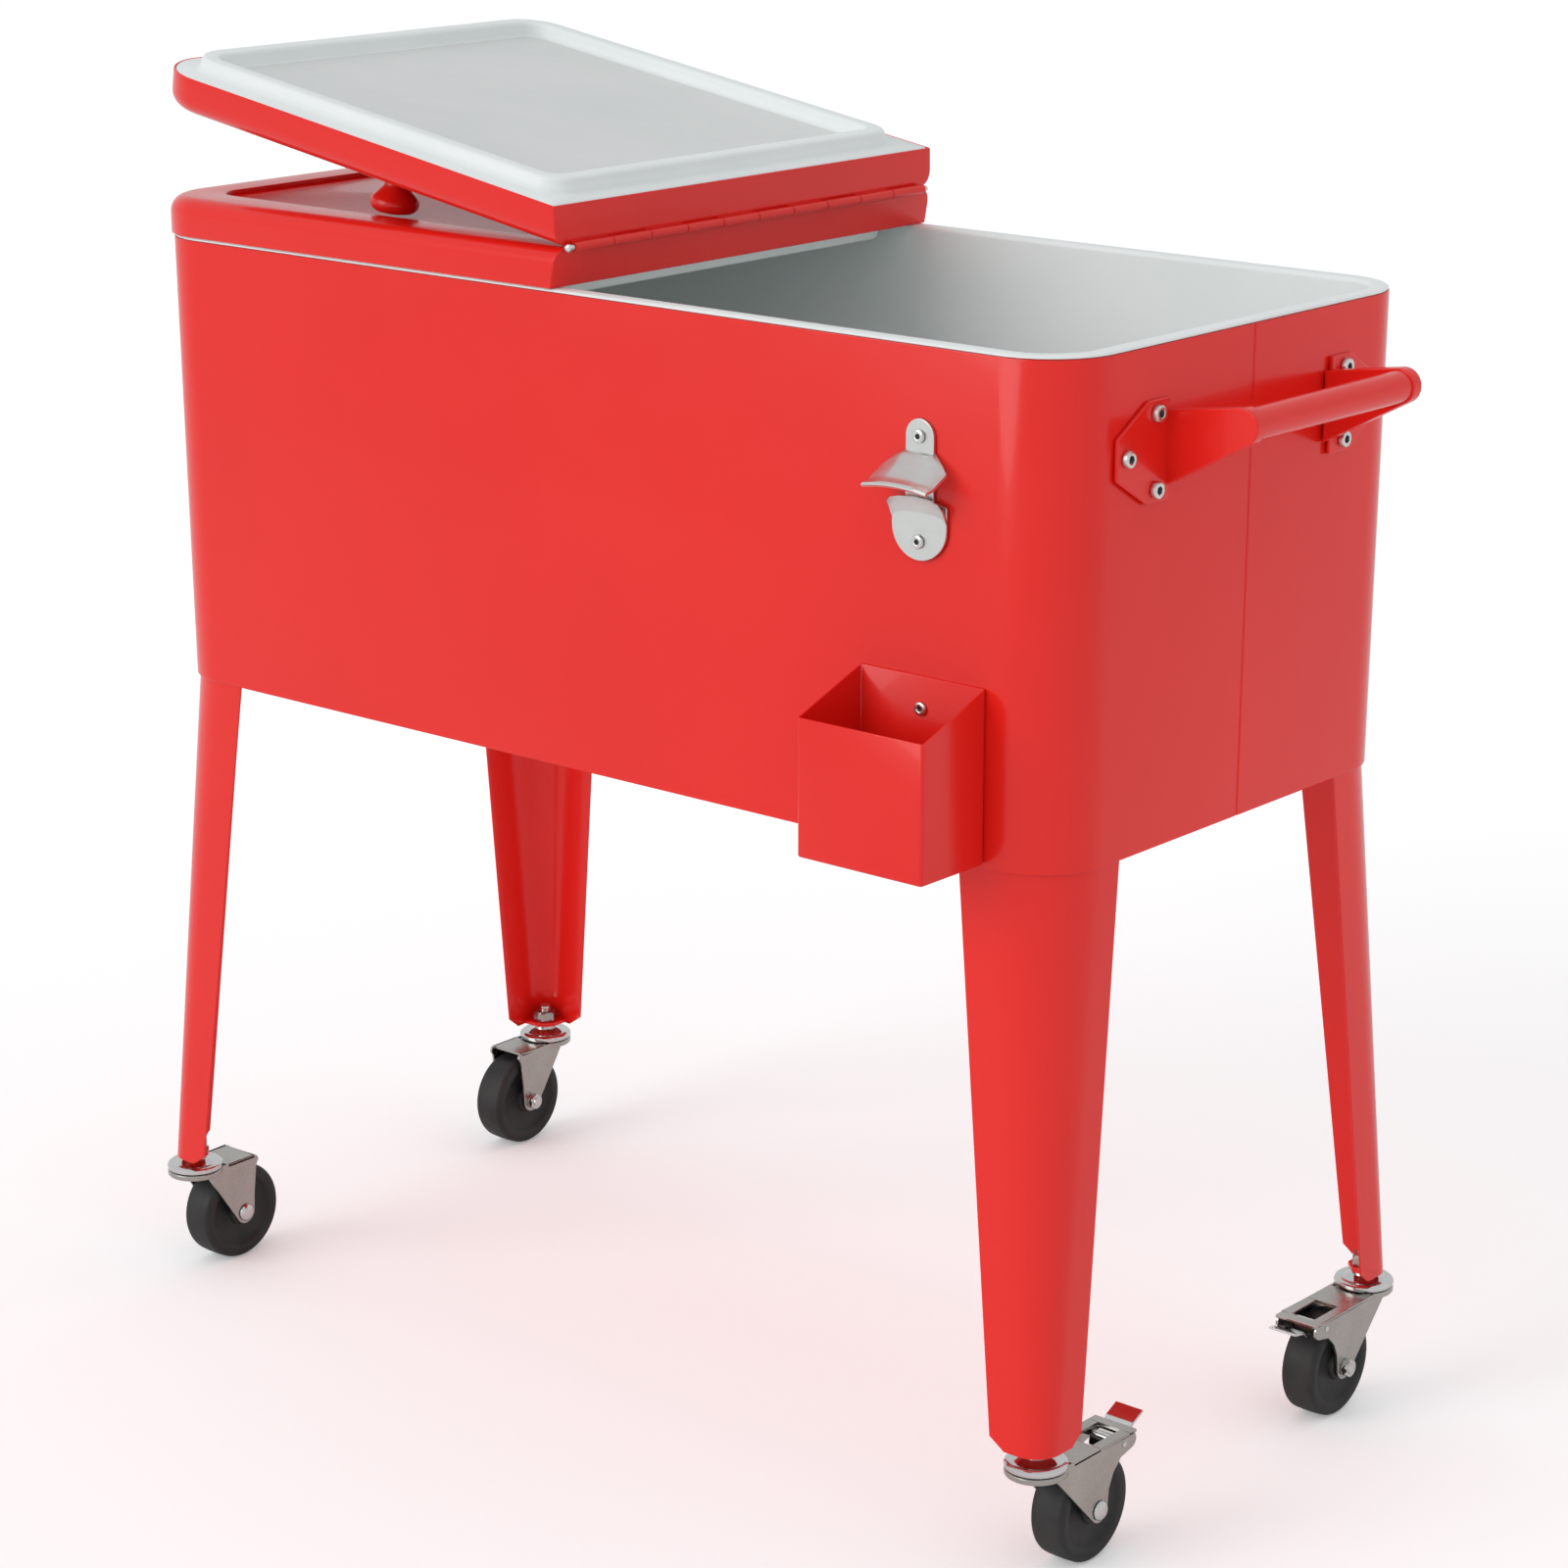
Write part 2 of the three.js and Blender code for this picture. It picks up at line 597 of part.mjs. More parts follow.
// One caster at a foot; sideY is -1 for a front foot, whose fork trails towards the back.
function addCaster(label, sideX, sideY) {
  const braked = sideX > 0;
  const trail = braked ? brakeTrail : plainTrail;
  const caster = new THREE.Group();
  caster.position.set(
    sideX * (halfX + leg.spreadX - swivel.fromCornerX),
    sideY * (halfY + leg.spreadY - swivel.fromCornerY),
    0,
  );
  addMesh(caster, `caster_stem_${label}`, casterStem(), nickel);
  addMesh(caster, `stem_nut_${label}`, stemNut(), nickel);
  const swivelling = new THREE.Group();
  swivelling.rotation.z = sideY > 0 ? Math.PI : 0;
  addMesh(swivelling, `caster_fork_${label}`, forkSolid(trail, braked), nickel);
  const rolling = new THREE.Group();
  rolling.position.set(0, trail, wheel.radius);
  addMesh(rolling, `axle_${label}`, axleSolid(), nickel);
  addMesh(rolling, `wheel_${label}`, wheelSolid(), rubber);
  swivelling.add(rolling);
  if (braked) addMesh(swivelling, `brake_pedal_${label}`, brakePedalAt(label), nickel);
  caster.add(swivelling);
  assembly.add(caster);
}

// The rear brake is pressed down and the front one is up.
function brakePedalAt(label) {
  const lever = brakePedal();
  if (label !== "rear_right") return lever;
  lever.translate(0, -pedal.pivotY, -pedalZ);
  lever.rotateX(THREE.MathUtils.degToRad(-pedal.press));
  return lever.translate(0, pedal.pivotY, pedalZ);
}

function addFoot(label, sideX, sideY) {
  const holder = new THREE.Group();
  holder.position.set(sideX * (halfX + leg.spreadX), sideY * (halfY + leg.spreadY), footZ);
  holder.scale.set(-sideX, -sideY, 1);
  addMesh(holder, `leg_${label}`, legSolid(), paint);
  assembly.add(holder);
  addCaster(label, sideX, sideY);
}

// ---------------------------------------------------------------- lid
// All lid pieces are drawn for the right half, closed, with the hinge axis along Y through the origin.
const skirtZ = -lid.height; // the foot of the skirt

// The lid's outside, shrunk by an inset: round top edges, round outer corners and a leaning inner end.
function lidBlock(inset, low) {
  const round = lid.edgeRadius;
  const outerCorner = Math.max(chest.corner - round, 2);
  const shape = roundedOutline(-60, lidHalfX - round, lidHalfY - round, 0, outerCorner);
  const bevelled = new THREE.ExtrudeGeometry(shape, {
    depth: 60,
    bevelThickness: round - inset,
    bevelSize: round - inset,
    bevelSegments: 3,
    curveSegments: 3,
  }).translate(0, 0, -60 - round);
  const lean = points(
    [lid.endGap + inset + ((lid.endGap - lid.endGapTop) * (skirtZ - low)) / (lid.height - lid.leanTop), low],
    [lidHalfX + 20, low],
    [lidHalfX + 20, 10],
    [lid.endGapTop + inset, 10],
    [lid.endGapTop + inset, -lid.leanTop],
  );
  return overlap(bevelled, prismAlongY(lean, -lidHalfY - 20, lidHalfY + 20));
}

function lidPocket(outward) {
  const inset = lid.pocketInset - outward;
  const corner = lid.pocketCorner + outward;
  const shape = roundedOutline(lid.endGapTop + inset, lidHalfX - inset, lidHalfY - inset, corner, corner);
  return prism(shape, -lid.pocketDepth - outward, 20);
}

const knuckleRadius = hinge.pin + hinge.play + hinge.wall;

// The hinge slots along Y that this half fills (start 0), or that the other half fills (start 1).
function slots(start) {
  const first = (-hinge.slots * hinge.slotLength) / 2;
  const found = [];
  for (let k = start; k < hinge.slots; k += 2) found.push(first + k * hinge.slotLength);
  return found;
}

function lidShell() {
  const skin = cut(lidBlock(0, skirtZ), lidPocket(0));
  const hollow = cut(lidBlock(lid.sheet, skirtZ - 10), lidPocket(lid.sheet));
  const knuckles = slots(0).flatMap((y) => [
    rodAlongY(knuckleRadius, y + gap, y + hinge.slotLength - gap, 10),
    box(0.5, 6, y + gap, y + hinge.slotLength - gap, -knuckleRadius, 0),
  ]);
  const notches = slots(1).map((y) => rodAlongY(knuckleRadius + slip, y - gap, y + hinge.slotLength + gap, 10));
  const pinHole = rodAlongY(hinge.pin + hinge.play, -lidHalfY - 10, lidHalfY + 10, 10);
  const slotsEnd = (hinge.slots * hinge.slotLength) / 2 + gap;
  const headRoom = rodAlongY(knuckleRadius + slip, slotsEnd, lidHalfY + 10, 10);
  notches.push(headRoom, headRoom.clone().rotateZ(Math.PI));
  return cut(join(cut(skin, hollow), ...knuckles), ...notches, pinHole);
}

// A plan outline inside the lid's edge, inset from the foot of its skirt on all four sides.
function lidOutline(inset, minCorner = 4) {
  const corner = Math.max(chest.corner - inset, minCorner);
  const inner = Math.max(4, corner * 0.6);
  return roundedOutline(lid.endGap + inset, lidHalfX - inset, lidHalfY - inset, inset > 10 ? inner : 2, corner);
}

function lidLiner() {
  const edge = lid.sheet + gap;
  const out = lid.ridgeInset;
  const into = lid.ridgeInset + lid.ridgeWidth;
  const sheet = lid.linerSheet;
  const plate = prism(lidOutline(edge), skirtZ, skirtZ + sheet);
  const block = prism(lidOutline(out), skirtZ - lid.ridgeDepth, skirtZ + sheet / 2);
  const core = prism(lidOutline(into), skirtZ - lid.ridgeDepth - 5, skirtZ);
  const groove = prism(lidOutline(out + sheet), skirtZ - lid.ridgeDepth + sheet, skirtZ + sheet + 5);
  const island = prism(lidOutline(into - sheet), skirtZ - lid.ridgeDepth, skirtZ + sheet + 10);
  return cut(join(plate, cut(block, core)), cut(groove, island));
}

function lidFoam() {
  const low = skirtZ + lid.linerSheet + slip;
  const high = -lid.pocketDepth - lid.sheet - slip;
  return prism(lidOutline(lid.sheet + 4), low, high);
}

// The grab knob is as tall as the gap that it holds open between the folded halves.
function knobHeight() {
  const tilt = THREE.MathUtils.degToRad(restTilt);
  const reach = (knob.fromHinge - knob.capRadius) * Math.sin(tilt);
  return lid.pocketDepth + (reach + lid.pocketDepth - gap) / Math.cos(tilt);
}

function lidKnob() {
  const low = -lid.pocketDepth + gap;
  const top = -lid.pocketDepth + knobHeight();
  const under = top - knob.capHeight;
  const profile = points(
    [0, low],
    [knob.neckRadius + 3, low],
    [knob.neckRadius, low + 4],
    [knob.neckRadius, under - 4],
    [knob.capRadius, under + 6],
    [knob.capRadius, top],
    [0, top],
  );
  return turned(profile, 16).translate(knob.fromHinge, knob.fromPocketSide + lid.pocketInset - lidHalfY, 0);
}

function hingePin() {
  const end = (hinge.slots * hinge.slotLength) / 2 + 4;
  const head = end + hinge.headHeight;
  const profile = points(
    [0, -end],
    [hinge.pin, -end],
    [hinge.pin, end],
    [hinge.headRadius, end],
    [hinge.headRadius, head],
    [0, head],
  );
  return turned(profile, 10).rotateX(Math.PI / 2);
}

function addLid(label) {
  const half = new THREE.Group();
  addMesh(half, `${label}_lid_shell`, lidShell(), paint);
  addMesh(half, `${label}_lid_liner`, lidLiner(), plastic);
  addMesh(half, `${label}_lid_foam`, lidFoam(), foam);
  addMesh(half, `${label}_lid_knob`, lidKnob(), paint);
  half.position.z = hingeZ;
  assembly.add(half);
  return half;
}

// ---------------------------------------------------------------- handles
// The handle's own frame: the wall is the plane x = 0 and the bar runs along Y.
function handleBracket(side) {
  const t = handle.plate;
  const mid = plateMiddleZ;
  const h = handle.plateHeight / 2;
  const flat = handle.flatHeight / 2;
  const shoulder = handle.screwIn + screw.head + 3;
  const outline = points(
    [side * handle.plateInner, mid - h],
    [side * shoulder, mid - h],
    [side * handle.plateOuter, mid - flat],
    [side * handle.plateOuter, mid + flat],
    [side * shoulder, mid + h],
    [side * handle.plateInner, mid + h],
  );
  const plate = prismAlongX(outline, 0, t);
  const root = handle.rootHeight / 2;
  const arm = new THREE.Shape();
  arm.moveTo(t / 2, mid - root);
  arm.absarc(handle.reach, handleZ, handle.barRadius + handle.armWall, -1.0, 1.7, false);
  arm.lineTo(t / 2, mid + root);
  const y0 = side * handle.armAt - handle.armWidth / 2;
  const web = prismAlongY(arm, y0, y0 + handle.armWidth, 5);
  const socketEnd = handle.armAt + gap;
  const socket = rodAlongY(handle.barRadius + gap, -socketEnd, socketEnd, 16).translate(handle.reach, 0, handleZ);
  const holes = handleScrews
    .filter((place) => Math.sign(place.y) === side)
    .map((place) => rodAlongX(screw.shank + gap, -5, t + 5, 8).translate(0, place.y, mid + place.rise));
  return cut(join(plate, web), socket, ...holes);
}

function handleBar() {
  const end = handle.armAt;
  const bar = rodAlongY(handle.barRadius, -end, end, 16);
  const bore = rodAlongY(handle.barRadius - handle.barWall, -end - 5, end + 5, 16);
  return cut(bar, bore).translate(handle.reach, 0, handleZ);
}

function addHandle(label, sideX) {
  const holder = new THREE.Group();
  holder.position.x = sideX * plateBackX;
  holder.scale.x = sideX;
  addMesh(holder, `${label}_handle_bracket_front`, handleBracket(-1), paint);
  addMesh(holder, `${label}_handle_bracket_back`, handleBracket(1), paint);
  addMesh(holder, `${label}_handle_bar`, handleBar(), paint);
  assembly.add(holder);
}

function addHandleScrews() {
  handleScrews.forEach((place, i) => {
    const x = plateBackX + handle.plate + gap;
    const body = rightScrew(screw, x, place.y, plateMiddleZ + place.rise);
    addMesh(assembly, `right_handle_screw_${i + 1}`, body, satin);
  });
}

// ---------------------------------------------------------------- bottle opener and cap catcher
// The formed hood that levers the cap: it leaves the plate below the tab and ends in an outward lip.
function openerHood() {
  const t = opener.sheet;
  const high = openerTopZ - opener.hoodStart;
  const low = high - opener.hoodDrop;
  const out = opener.hoodReach;
  const profile = points(
    [-t / 2, high],
    [-2 * t, high - t / 2],
    [-4 * t, high - 2 * t],
    [-out + opener.lip, low + opener.lip],
    [-out, low + t],
    [-out + t / 2, low],
    [-out + opener.lip + t / 2, low + opener.lip - t],
    [-3 * t, high - 2.7 * t],
    [-1.5 * t, high - 1.5 * t],
    [-t / 2, high - t],
  );
  const hood = new THREE.ExtrudeGeometry(new THREE.Shape(profile), {
    depth: 2 * opener.hoodHalfWidth,
    steps: 6,
    bevelEnabled: false,
  });
  hood.rotateX(Math.PI / 2).rotateZ(Math.PI / 2).translate(-opener.hoodHalfWidth, 0, 0);
  const position = hood.attributes.position;
  for (let i = 0; i < position.count; i += 1) {
    const beside = Math.max(0, Math.abs(position.getX(i)) - opener.tabRadius);
    const towardsWall = 1 + position.getY(i) / out;
    position.setZ(i, position.getZ(i) - opener.hoodFall * beside * towardsWall);
  }
  return hood;
}

function bottleOpener() {
  const top = openerTopZ;
  const low = top - opener.height;
  const r = opener.tabRadius;
  const wide = opener.plateRadius;
  const outline = new THREE.Shape();
  outline.moveTo(-wide, low + wide);
  outline.absarc(0, low + wide, wide, Math.PI, 2 * Math.PI, false);
  outline.lineTo(wide, top - opener.shoulder);
  outline.lineTo(r, top - opener.shoulder);
  outline.absarc(0, top - r, r, 0, Math.PI, false);
  outline.lineTo(-r, top - opener.shoulder);
  outline.lineTo(-wide, top - opener.shoulder);
  const plate = prismAlongY(outline, -opener.sheet, 0, 5);
  const holes = openerScrewZs.map((z) => rodAlongY(smallScrew.shank + gap, -20, 5, 8).translate(0, 0, z));
  const solid = cut(join(plate, openerHood()), ...holes);
  return solid.translate(opener.x, openerBackY, 0);
}

function capCatcher() {
  const low = chestZ + catcher.low;
  const t = catcher.sheet;
  const side = (inset) =>
    points(
      [-inset, low + inset],
      [-inset, low + catcher.backHeight + (inset ? 40 : 0)],
      [-catcher.depth + inset, low + catcher.frontHeight + (inset ? 40 : 0)],
      [-catcher.depth + inset, low + inset],
    );
  const half = catcher.width / 2;
  const outer = prismAlongX(side(0), -half, half);
  const inner = prismAlongX(side(t), -half + t, half - t);
  const holes = catcherScrewZs.map((z) => rodAlongY(smallScrew.shank + gap, -10, 5, 8).translate(0, 0, z));
  return cut(outer, inner, ...holes).translate(catcher.x, catcherBackY, 0);
}

function addFrontFittings() {
  addMesh(assembly, "bottle_opener", bottleOpener(), satin);
  const openerFaceY = openerBackY - opener.sheet - gap;
  openerScrewZs.forEach((z, i) => {
    addMesh(assembly, `opener_screw_${i + 1}`, frontScrew(smallScrew, opener.x, openerFaceY, z), satin);
  });
  addMesh(assembly, "cap_catcher", capCatcher(), paint);
  const catcherFaceY = catcherBackY - catcher.sheet - gap;
  catcherScrewZs.forEach((z, i) => {
    addMesh(assembly, `catcher_screw_${i + 1}`, frontScrew(smallScrew, catcher.x, catcherFaceY, z), satin);
  });
}

// ---------------------------------------------------------------- assembly
addMesh(assembly, "body_shell", bodyShell(), paint);
addMesh(assembly, "bottom_panel", bottomPanel(), paint);
addMesh(assembly, "tub_liner", tubLiner(), plastic);
addMesh(assembly, "insulation", insulation(), foam);
addMesh(assembly, "drain_fitting", drainFitting(), plastic);
addMesh(assembly, "drain_cap", drainCap(), plastic);

addFoot("front_left", -1, -1);
addFoot("front_right", 1, -1);
addFoot("rear_left", -1, 1);
addFoot("rear_right", 1, 1);

addFrontFittings();
addHandle("right", 1);
addHandle("left", -1);
addHandleScrews();

// The left half lies closed; the right half is folded back over it, onto the knobs.
const leftLid = addLid("left");
leftLid.rotation.z = Math.PI;
const rightLid = addLid("right");
rightLid.rotation.y = -THREE.MathUtils.degToRad(180 - restTilt);
addMesh(assembly, "hinge_pin", hingePin().translate(0, 0, hingeZ), satin);

// The origin is the middle of the whole cooler's bounding box, on the floor.
const extent = new THREE.Box3().setFromObject(assembly, true);
const middle = extent.getCenter(new THREE.Vector3());
assembly.position.set(-middle.x, -middle.y, -extent.min.z);

const cooler = new THREE.Group();
cooler.add(assembly);

export default cooler;
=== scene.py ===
"""A rolling patio cooler: the looks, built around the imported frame. Metres, +Z up."""
from math import acos, atan2, cos, degrees, hypot, pi, radians, sin

import bmesh
import bpy
from mathutils import Matrix, Vector


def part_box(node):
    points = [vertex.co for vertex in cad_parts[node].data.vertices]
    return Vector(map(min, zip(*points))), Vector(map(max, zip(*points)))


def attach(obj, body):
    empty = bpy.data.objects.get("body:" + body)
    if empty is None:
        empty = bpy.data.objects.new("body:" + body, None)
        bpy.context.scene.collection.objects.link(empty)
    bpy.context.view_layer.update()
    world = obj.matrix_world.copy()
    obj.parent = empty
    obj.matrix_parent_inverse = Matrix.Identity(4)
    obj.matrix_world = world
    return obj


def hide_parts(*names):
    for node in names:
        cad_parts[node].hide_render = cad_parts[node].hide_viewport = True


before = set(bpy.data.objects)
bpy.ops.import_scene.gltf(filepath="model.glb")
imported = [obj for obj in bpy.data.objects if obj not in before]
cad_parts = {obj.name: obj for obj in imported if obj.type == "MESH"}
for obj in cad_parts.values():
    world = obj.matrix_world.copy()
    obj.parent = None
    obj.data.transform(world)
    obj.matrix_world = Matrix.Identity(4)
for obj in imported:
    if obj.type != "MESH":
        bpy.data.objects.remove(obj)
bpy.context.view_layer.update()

# ------------------------------------------------------------------ driving dimensions
CHEST_CORNER = 0.050
CHEST_FLARE = 0.0025
SHEET = 0.0012
TUB_INSET_TOP = 0.014
TUB_INSET_FLOOR = 0.025
TUB_CORNER = 0.036
RIM = 0.002
LID_OVERHANG = 0.0014
LID_HEIGHT = 0.0269
LID_EDGE = 0.012
LID_END = (0.0085, 0.0043)  # the inner end's distance from the hinge axis, at its foot and its top
POCKET_INSET = 0.037
POCKET_DEPTH = 0.004
POCKET_CORNER = 0.022
RIDGE_INSET = 0.0185
RIDGE_WIDTH = 0.015
RIDGE_DEPTH = 0.0105
REST_TILT = 9.4
KNUCKLES = 10
KNUCKLE_LENGTH = 0.037
KNUCKLE_RADIUS = 0.00345
LEG_SHEET = 0.0015
LEG_SPREAD = (0.0101, 0.0154)
LEG_TOP = (0.0757, 0.0709)
LEG_FOOT = (0.0423, 0.0434)
LEG_FOOT_CORNER = 0.0193
SWIVEL = (0.0151, 0.015)
WHEEL_RADIUS = 0.0375
WHEEL_HALF = 0.0135
FORK_SIDE_START = -0.002
FORK_SKIRT = 0.0043
FORK_SHEET = 0.0022
FORK_HEAD = 0.021
FORK_INNER = 0.0147
BRAKE_REACH = 0.088
BRAKE_WINDOW = (0.048, 0.080, 0.009)
PEDAL_PIVOT = 0.074
PEDAL_PRESS = 15
PLATE_BELOW_BAR = 0.020
SEAM_Y = 0.0043  # of the upright seam in each end wall, from the chest's middle

chest_low, chest_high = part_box("body_shell")
CENTRE_Y = (chest_low.y + chest_high.y) / 2
CHEST_Z = chest_low.z
RIM_Z = chest_high.z
HALF_X = chest_high.x - CHEST_FLARE
HALF_Y = (chest_high.y - chest_low.y) / 2 - CHEST_FLARE
FOOT_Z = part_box("leg_front_left")[0].z
HINGE_Z = (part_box("hinge_pin")[0].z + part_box("hinge_pin")[1].z) / 2
TUB_FLOOR_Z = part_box("tub_liner")[0].z + 0.0025
LID_X = HALF_X + CHEST_FLARE + LID_OVERHANG
LID_Y = HALF_Y + CHEST_FLARE + LID_OVERHANG
FORK_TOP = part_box("caster_fork_front_left")[1].z
CORNERS = {"front_left": (-1, -1), "front_right": (1, -1), "rear_left": (-1, 1), "rear_right": (1, 1)}


# ------------------------------------------------------------------ camera and light
def add_camera():
    azimuth, elevation, distance = radians(40.29), radians(16.19), 2.8754
    target = Vector((0.0249, CENTRE_Y, 0.4258))
    back = Vector((sin(azimuth) * cos(elevation), -cos(azimuth) * cos(elevation), sin(elevation)))
    data = bpy.data.cameras.new("camera")
    data.lens = 92.19
    data.sensor_width = 36
    camera = bpy.data.objects.new("camera", data)
    camera.location = target + back * distance
    camera.rotation_euler = (-back).to_track_quat("-Z", "Y").to_euler()
    bpy.context.scene.collection.objects.link(camera)
    bpy.context.scene.camera = camera


def add_world():
    world = bpy.data.worlds.new("studio")
    bpy.context.scene.world = world
    world.use_nodes = True
    nodes, links = world.node_tree.nodes, world.node_tree.links
    light = nodes["Background"]
    light.inputs["Color"].default_value = (0.97, 0.985, 1.0, 1)
    light.inputs["Strength"].default_value = 0.74
    seen = nodes.new("ShaderNodeBackground")
    seen.inputs["Color"].default_value = (1, 1, 1, 1)
    path = nodes.new("ShaderNodeLightPath")
    mix = nodes.new("ShaderNodeMixShader")
    links.new(path.outputs["Is Camera Ray"], mix.inputs[0])
    links.new(light.outputs[0], mix.inputs[1])
    links.new(seen.outputs[0], mix.inputs[2])
    links.new(mix.outputs[0], nodes["World Output"].inputs["Surface"])


def add_sun(name, strength, angle, towards):
    data = bpy.data.lights.new(name, "SUN")
    data.energy = strength
    data.angle = radians(angle)
    lamp = bpy.data.objects.new(name, data)
    lamp.rotation_euler = Vector(towards).to_track_quat("Z", "Y").to_euler()
    bpy.context.scene.collection.objects.link(lamp)


def add_floor():
    material = bpy.data.materials.new("studio_floor")
    material.use_nodes = True
    nodes, links = material.node_tree.nodes, material.node_tree.links
    shader = nodes["Principled BSDF"]
    shader.inputs["Base Color"].default_value = (0.95, 0.95, 0.95, 1)
    shader.inputs["Roughness"].default_value = 0.9
    lift = nodes.new("ShaderNodeEmission")
    path = nodes.new("ShaderNodeLightPath")
    scale = nodes.new("ShaderNodeMath")
    scale.operation = "MULTIPLY"
    scale.inputs[1].default_value = 0.22
    both = nodes.new("ShaderNodeAddShader")
    links.new(path.outputs["Is Camera Ray"], scale.inputs[0])
    links.new(scale.outputs[0], lift.inputs["Strength"])
    links.new(shader.outputs[0], both.inputs[0])
    links.new(lift.outputs[0], both.inputs[1])
    links.new(both.outputs[0], nodes["Material Output"].inputs["Surface"])
    mesh = bpy.data.meshes.new("floor")
    half = 30
    mesh.from_pydata([(-half, -half, 0), (half, -half, 0), (half, half, 0), (-half, half, 0)], [], [(0, 1, 2, 3)])
    floor = bpy.data.objects.new("floor", mesh)
    floor.location.z = -0.0003
    mesh.materials.append(material)
    bpy.context.scene.collection.objects.link(floor)


# ------------------------------------------------------------------ materials
def noise(material, scale, detail=4.0, roughness=0.5, stretch=(1, 1, 1)):
    nodes, links = material.node_tree.nodes, material.node_tree.links
    place = nodes.new("ShaderNodeTexCoord")
    mapping = nodes.new("ShaderNodeMapping")
    mapping.inputs["Scale"].default_value = stretch
    texture = nodes.new("ShaderNodeTexNoise")
    texture.inputs["Scale"].default_value = scale
    texture.inputs["Detail"].default_value = detail
    texture.inputs["Roughness"].default_value = roughness
    links.new(place.outputs["Object"], mapping.inputs["Vector"])
    links.new(mapping.outputs["Vector"], texture.inputs["Vector"])
    return texture.outputs["Fac"]


def ramp(material, source, *stops):
    """A colour ramp over the source; each stop is (position, value or colour)."""
    node = material.node_tree.nodes.new("ShaderNodeValToRGB")
    elements = node.color_ramp.elements
    while len(elements) < len(stops):
        elements.new(0.5)
    for element, (position, value) in zip(elements, stops):
        element.position = position
        element.color = (*value, 1) if isinstance(value, tuple) else (value, value, value, 1)
    material.node_tree.links.new(source, node.inputs["Fac"])
    return node.outputs["Color"]


def bump(material, height, strength, distance):
    node = material.node_tree.nodes.new("ShaderNodeBump")
    node.inputs["Strength"].default_value = strength
    node.inputs["Distance"].default_value = distance
    material.node_tree.links.new(height, node.inputs["Height"])
    return node


def new_material(name):
    material = bpy.data.materials.new(name)
    material.use_nodes = True
    return material, material.node_tree.nodes["Principled BSDF"], material.node_tree.links


def enamel():
    """Glossy red powder coat: a fine orange peel, faint clouding and a clear top layer."""
    material, shader, links = new_material("red_enamel")
    cloud = noise(material, 5, 3)
    links.new(ramp(material, cloud, (0.3, (0.79, 0.013, 0.008)), (0.7, (0.83, 0.016, 0.010))), shader.inputs["Base Color"])
    links.new(ramp(material, noise(material, 12, 2), (0.3, 0.20), (0.7, 0.26)), shader.inputs["Roughness"])
    shader.inputs["Specular IOR Level"].default_value = 0.32
    shader.inputs["Coat Weight"].default_value = 0.2
    shader.inputs["Coat Roughness"].default_value = 0.04
    peel = bump(material, noise(material, 330, 1), 0.012, 0.0006)
    waves = bump(material, noise(material, 6, 1), 0.03, 0.004)
    links.new(waves.outputs["Normal"], peel.inputs["Normal"])
    links.new(peel.outputs["Normal"], shader.inputs["Normal"])
    return material


def moulded(name, dark, light, rough=(0.36, 0.46)):
    """Satin moulded plastic with a fine spark-eroded grain."""
    material, shader, links = new_material(name)
    links.new(ramp(material, noise(material, 9, 3), (0.35, dark), (0.65, light)), shader.inputs["Base Color"])
    links.new(ramp(material, noise(material, 70, 3), (0.3, rough[0]), (0.7, rough[1])), shader.inputs["Roughness"])
    grain = bump(material, noise(material, 1600, 3), 0.12, 0.0002)
    links.new(grain.outputs["Normal"], shader.inputs["Normal"])
    return material


def plated(name, dark, light, rough, stretch, metallic=1.0):
    """Plated or brushed steel: streaked roughness and a slight tone change."""
    material, shader, links = new_material(name)
    shader.inputs["Metallic"].default_value = metallic
    links.new(ramp(material, noise(material, 30, 4, 0.6), (0.3, dark), (0.7, light)), shader.inputs["Base Color"])
    streaks = noise(material, 240, 5, 0.7, stretch)
    links.new(ramp(material, streaks, (0.25, rough[0]), (0.75, rough[1])), shader.inputs["Roughness"])
    brushed = bump(material, streaks, 0.05, 0.0002)
    links.new(brushed.outputs["Normal"], shader.inputs["Normal"])
    return material


def tyre_rubber():
    material, shader, links = new_material("tyre_rubber")
    scuffs = ramp(material, noise(material, 45, 6, 0.65), (0.45, (0.009, 0.009, 0.009)), (0.75, (0.028, 0.027, 0.026)))
    links.new(scuffs, shader.inputs["Base Color"])
    links.new(ramp(material, noise(material, 90, 3), (0.3, 0.48), (0.7, 0.66)), shader.inputs["Roughness"])
    skin = bump(material, noise(material, 900, 4), 0.25, 0.0003)
    links.new(skin.outputs["Normal"], shader.inputs["Normal"])
    return material


def rigid_foam():
    material, shader, links = new_material("rigid_foam")
    cells = noise(material, 350, 5, 0.7)
    links.new(ramp(material, cells, (0.35, (0.58, 0.50, 0.26)), (0.65, (0.78, 0.71, 0.45))), shader.inputs["Base Color"])
    shader.inputs["Roughness"].default_value = 0.9
    links.new(bump(material, cells, 0.6, 0.001).outputs["Normal"], shader.inputs["Normal"])
    return material


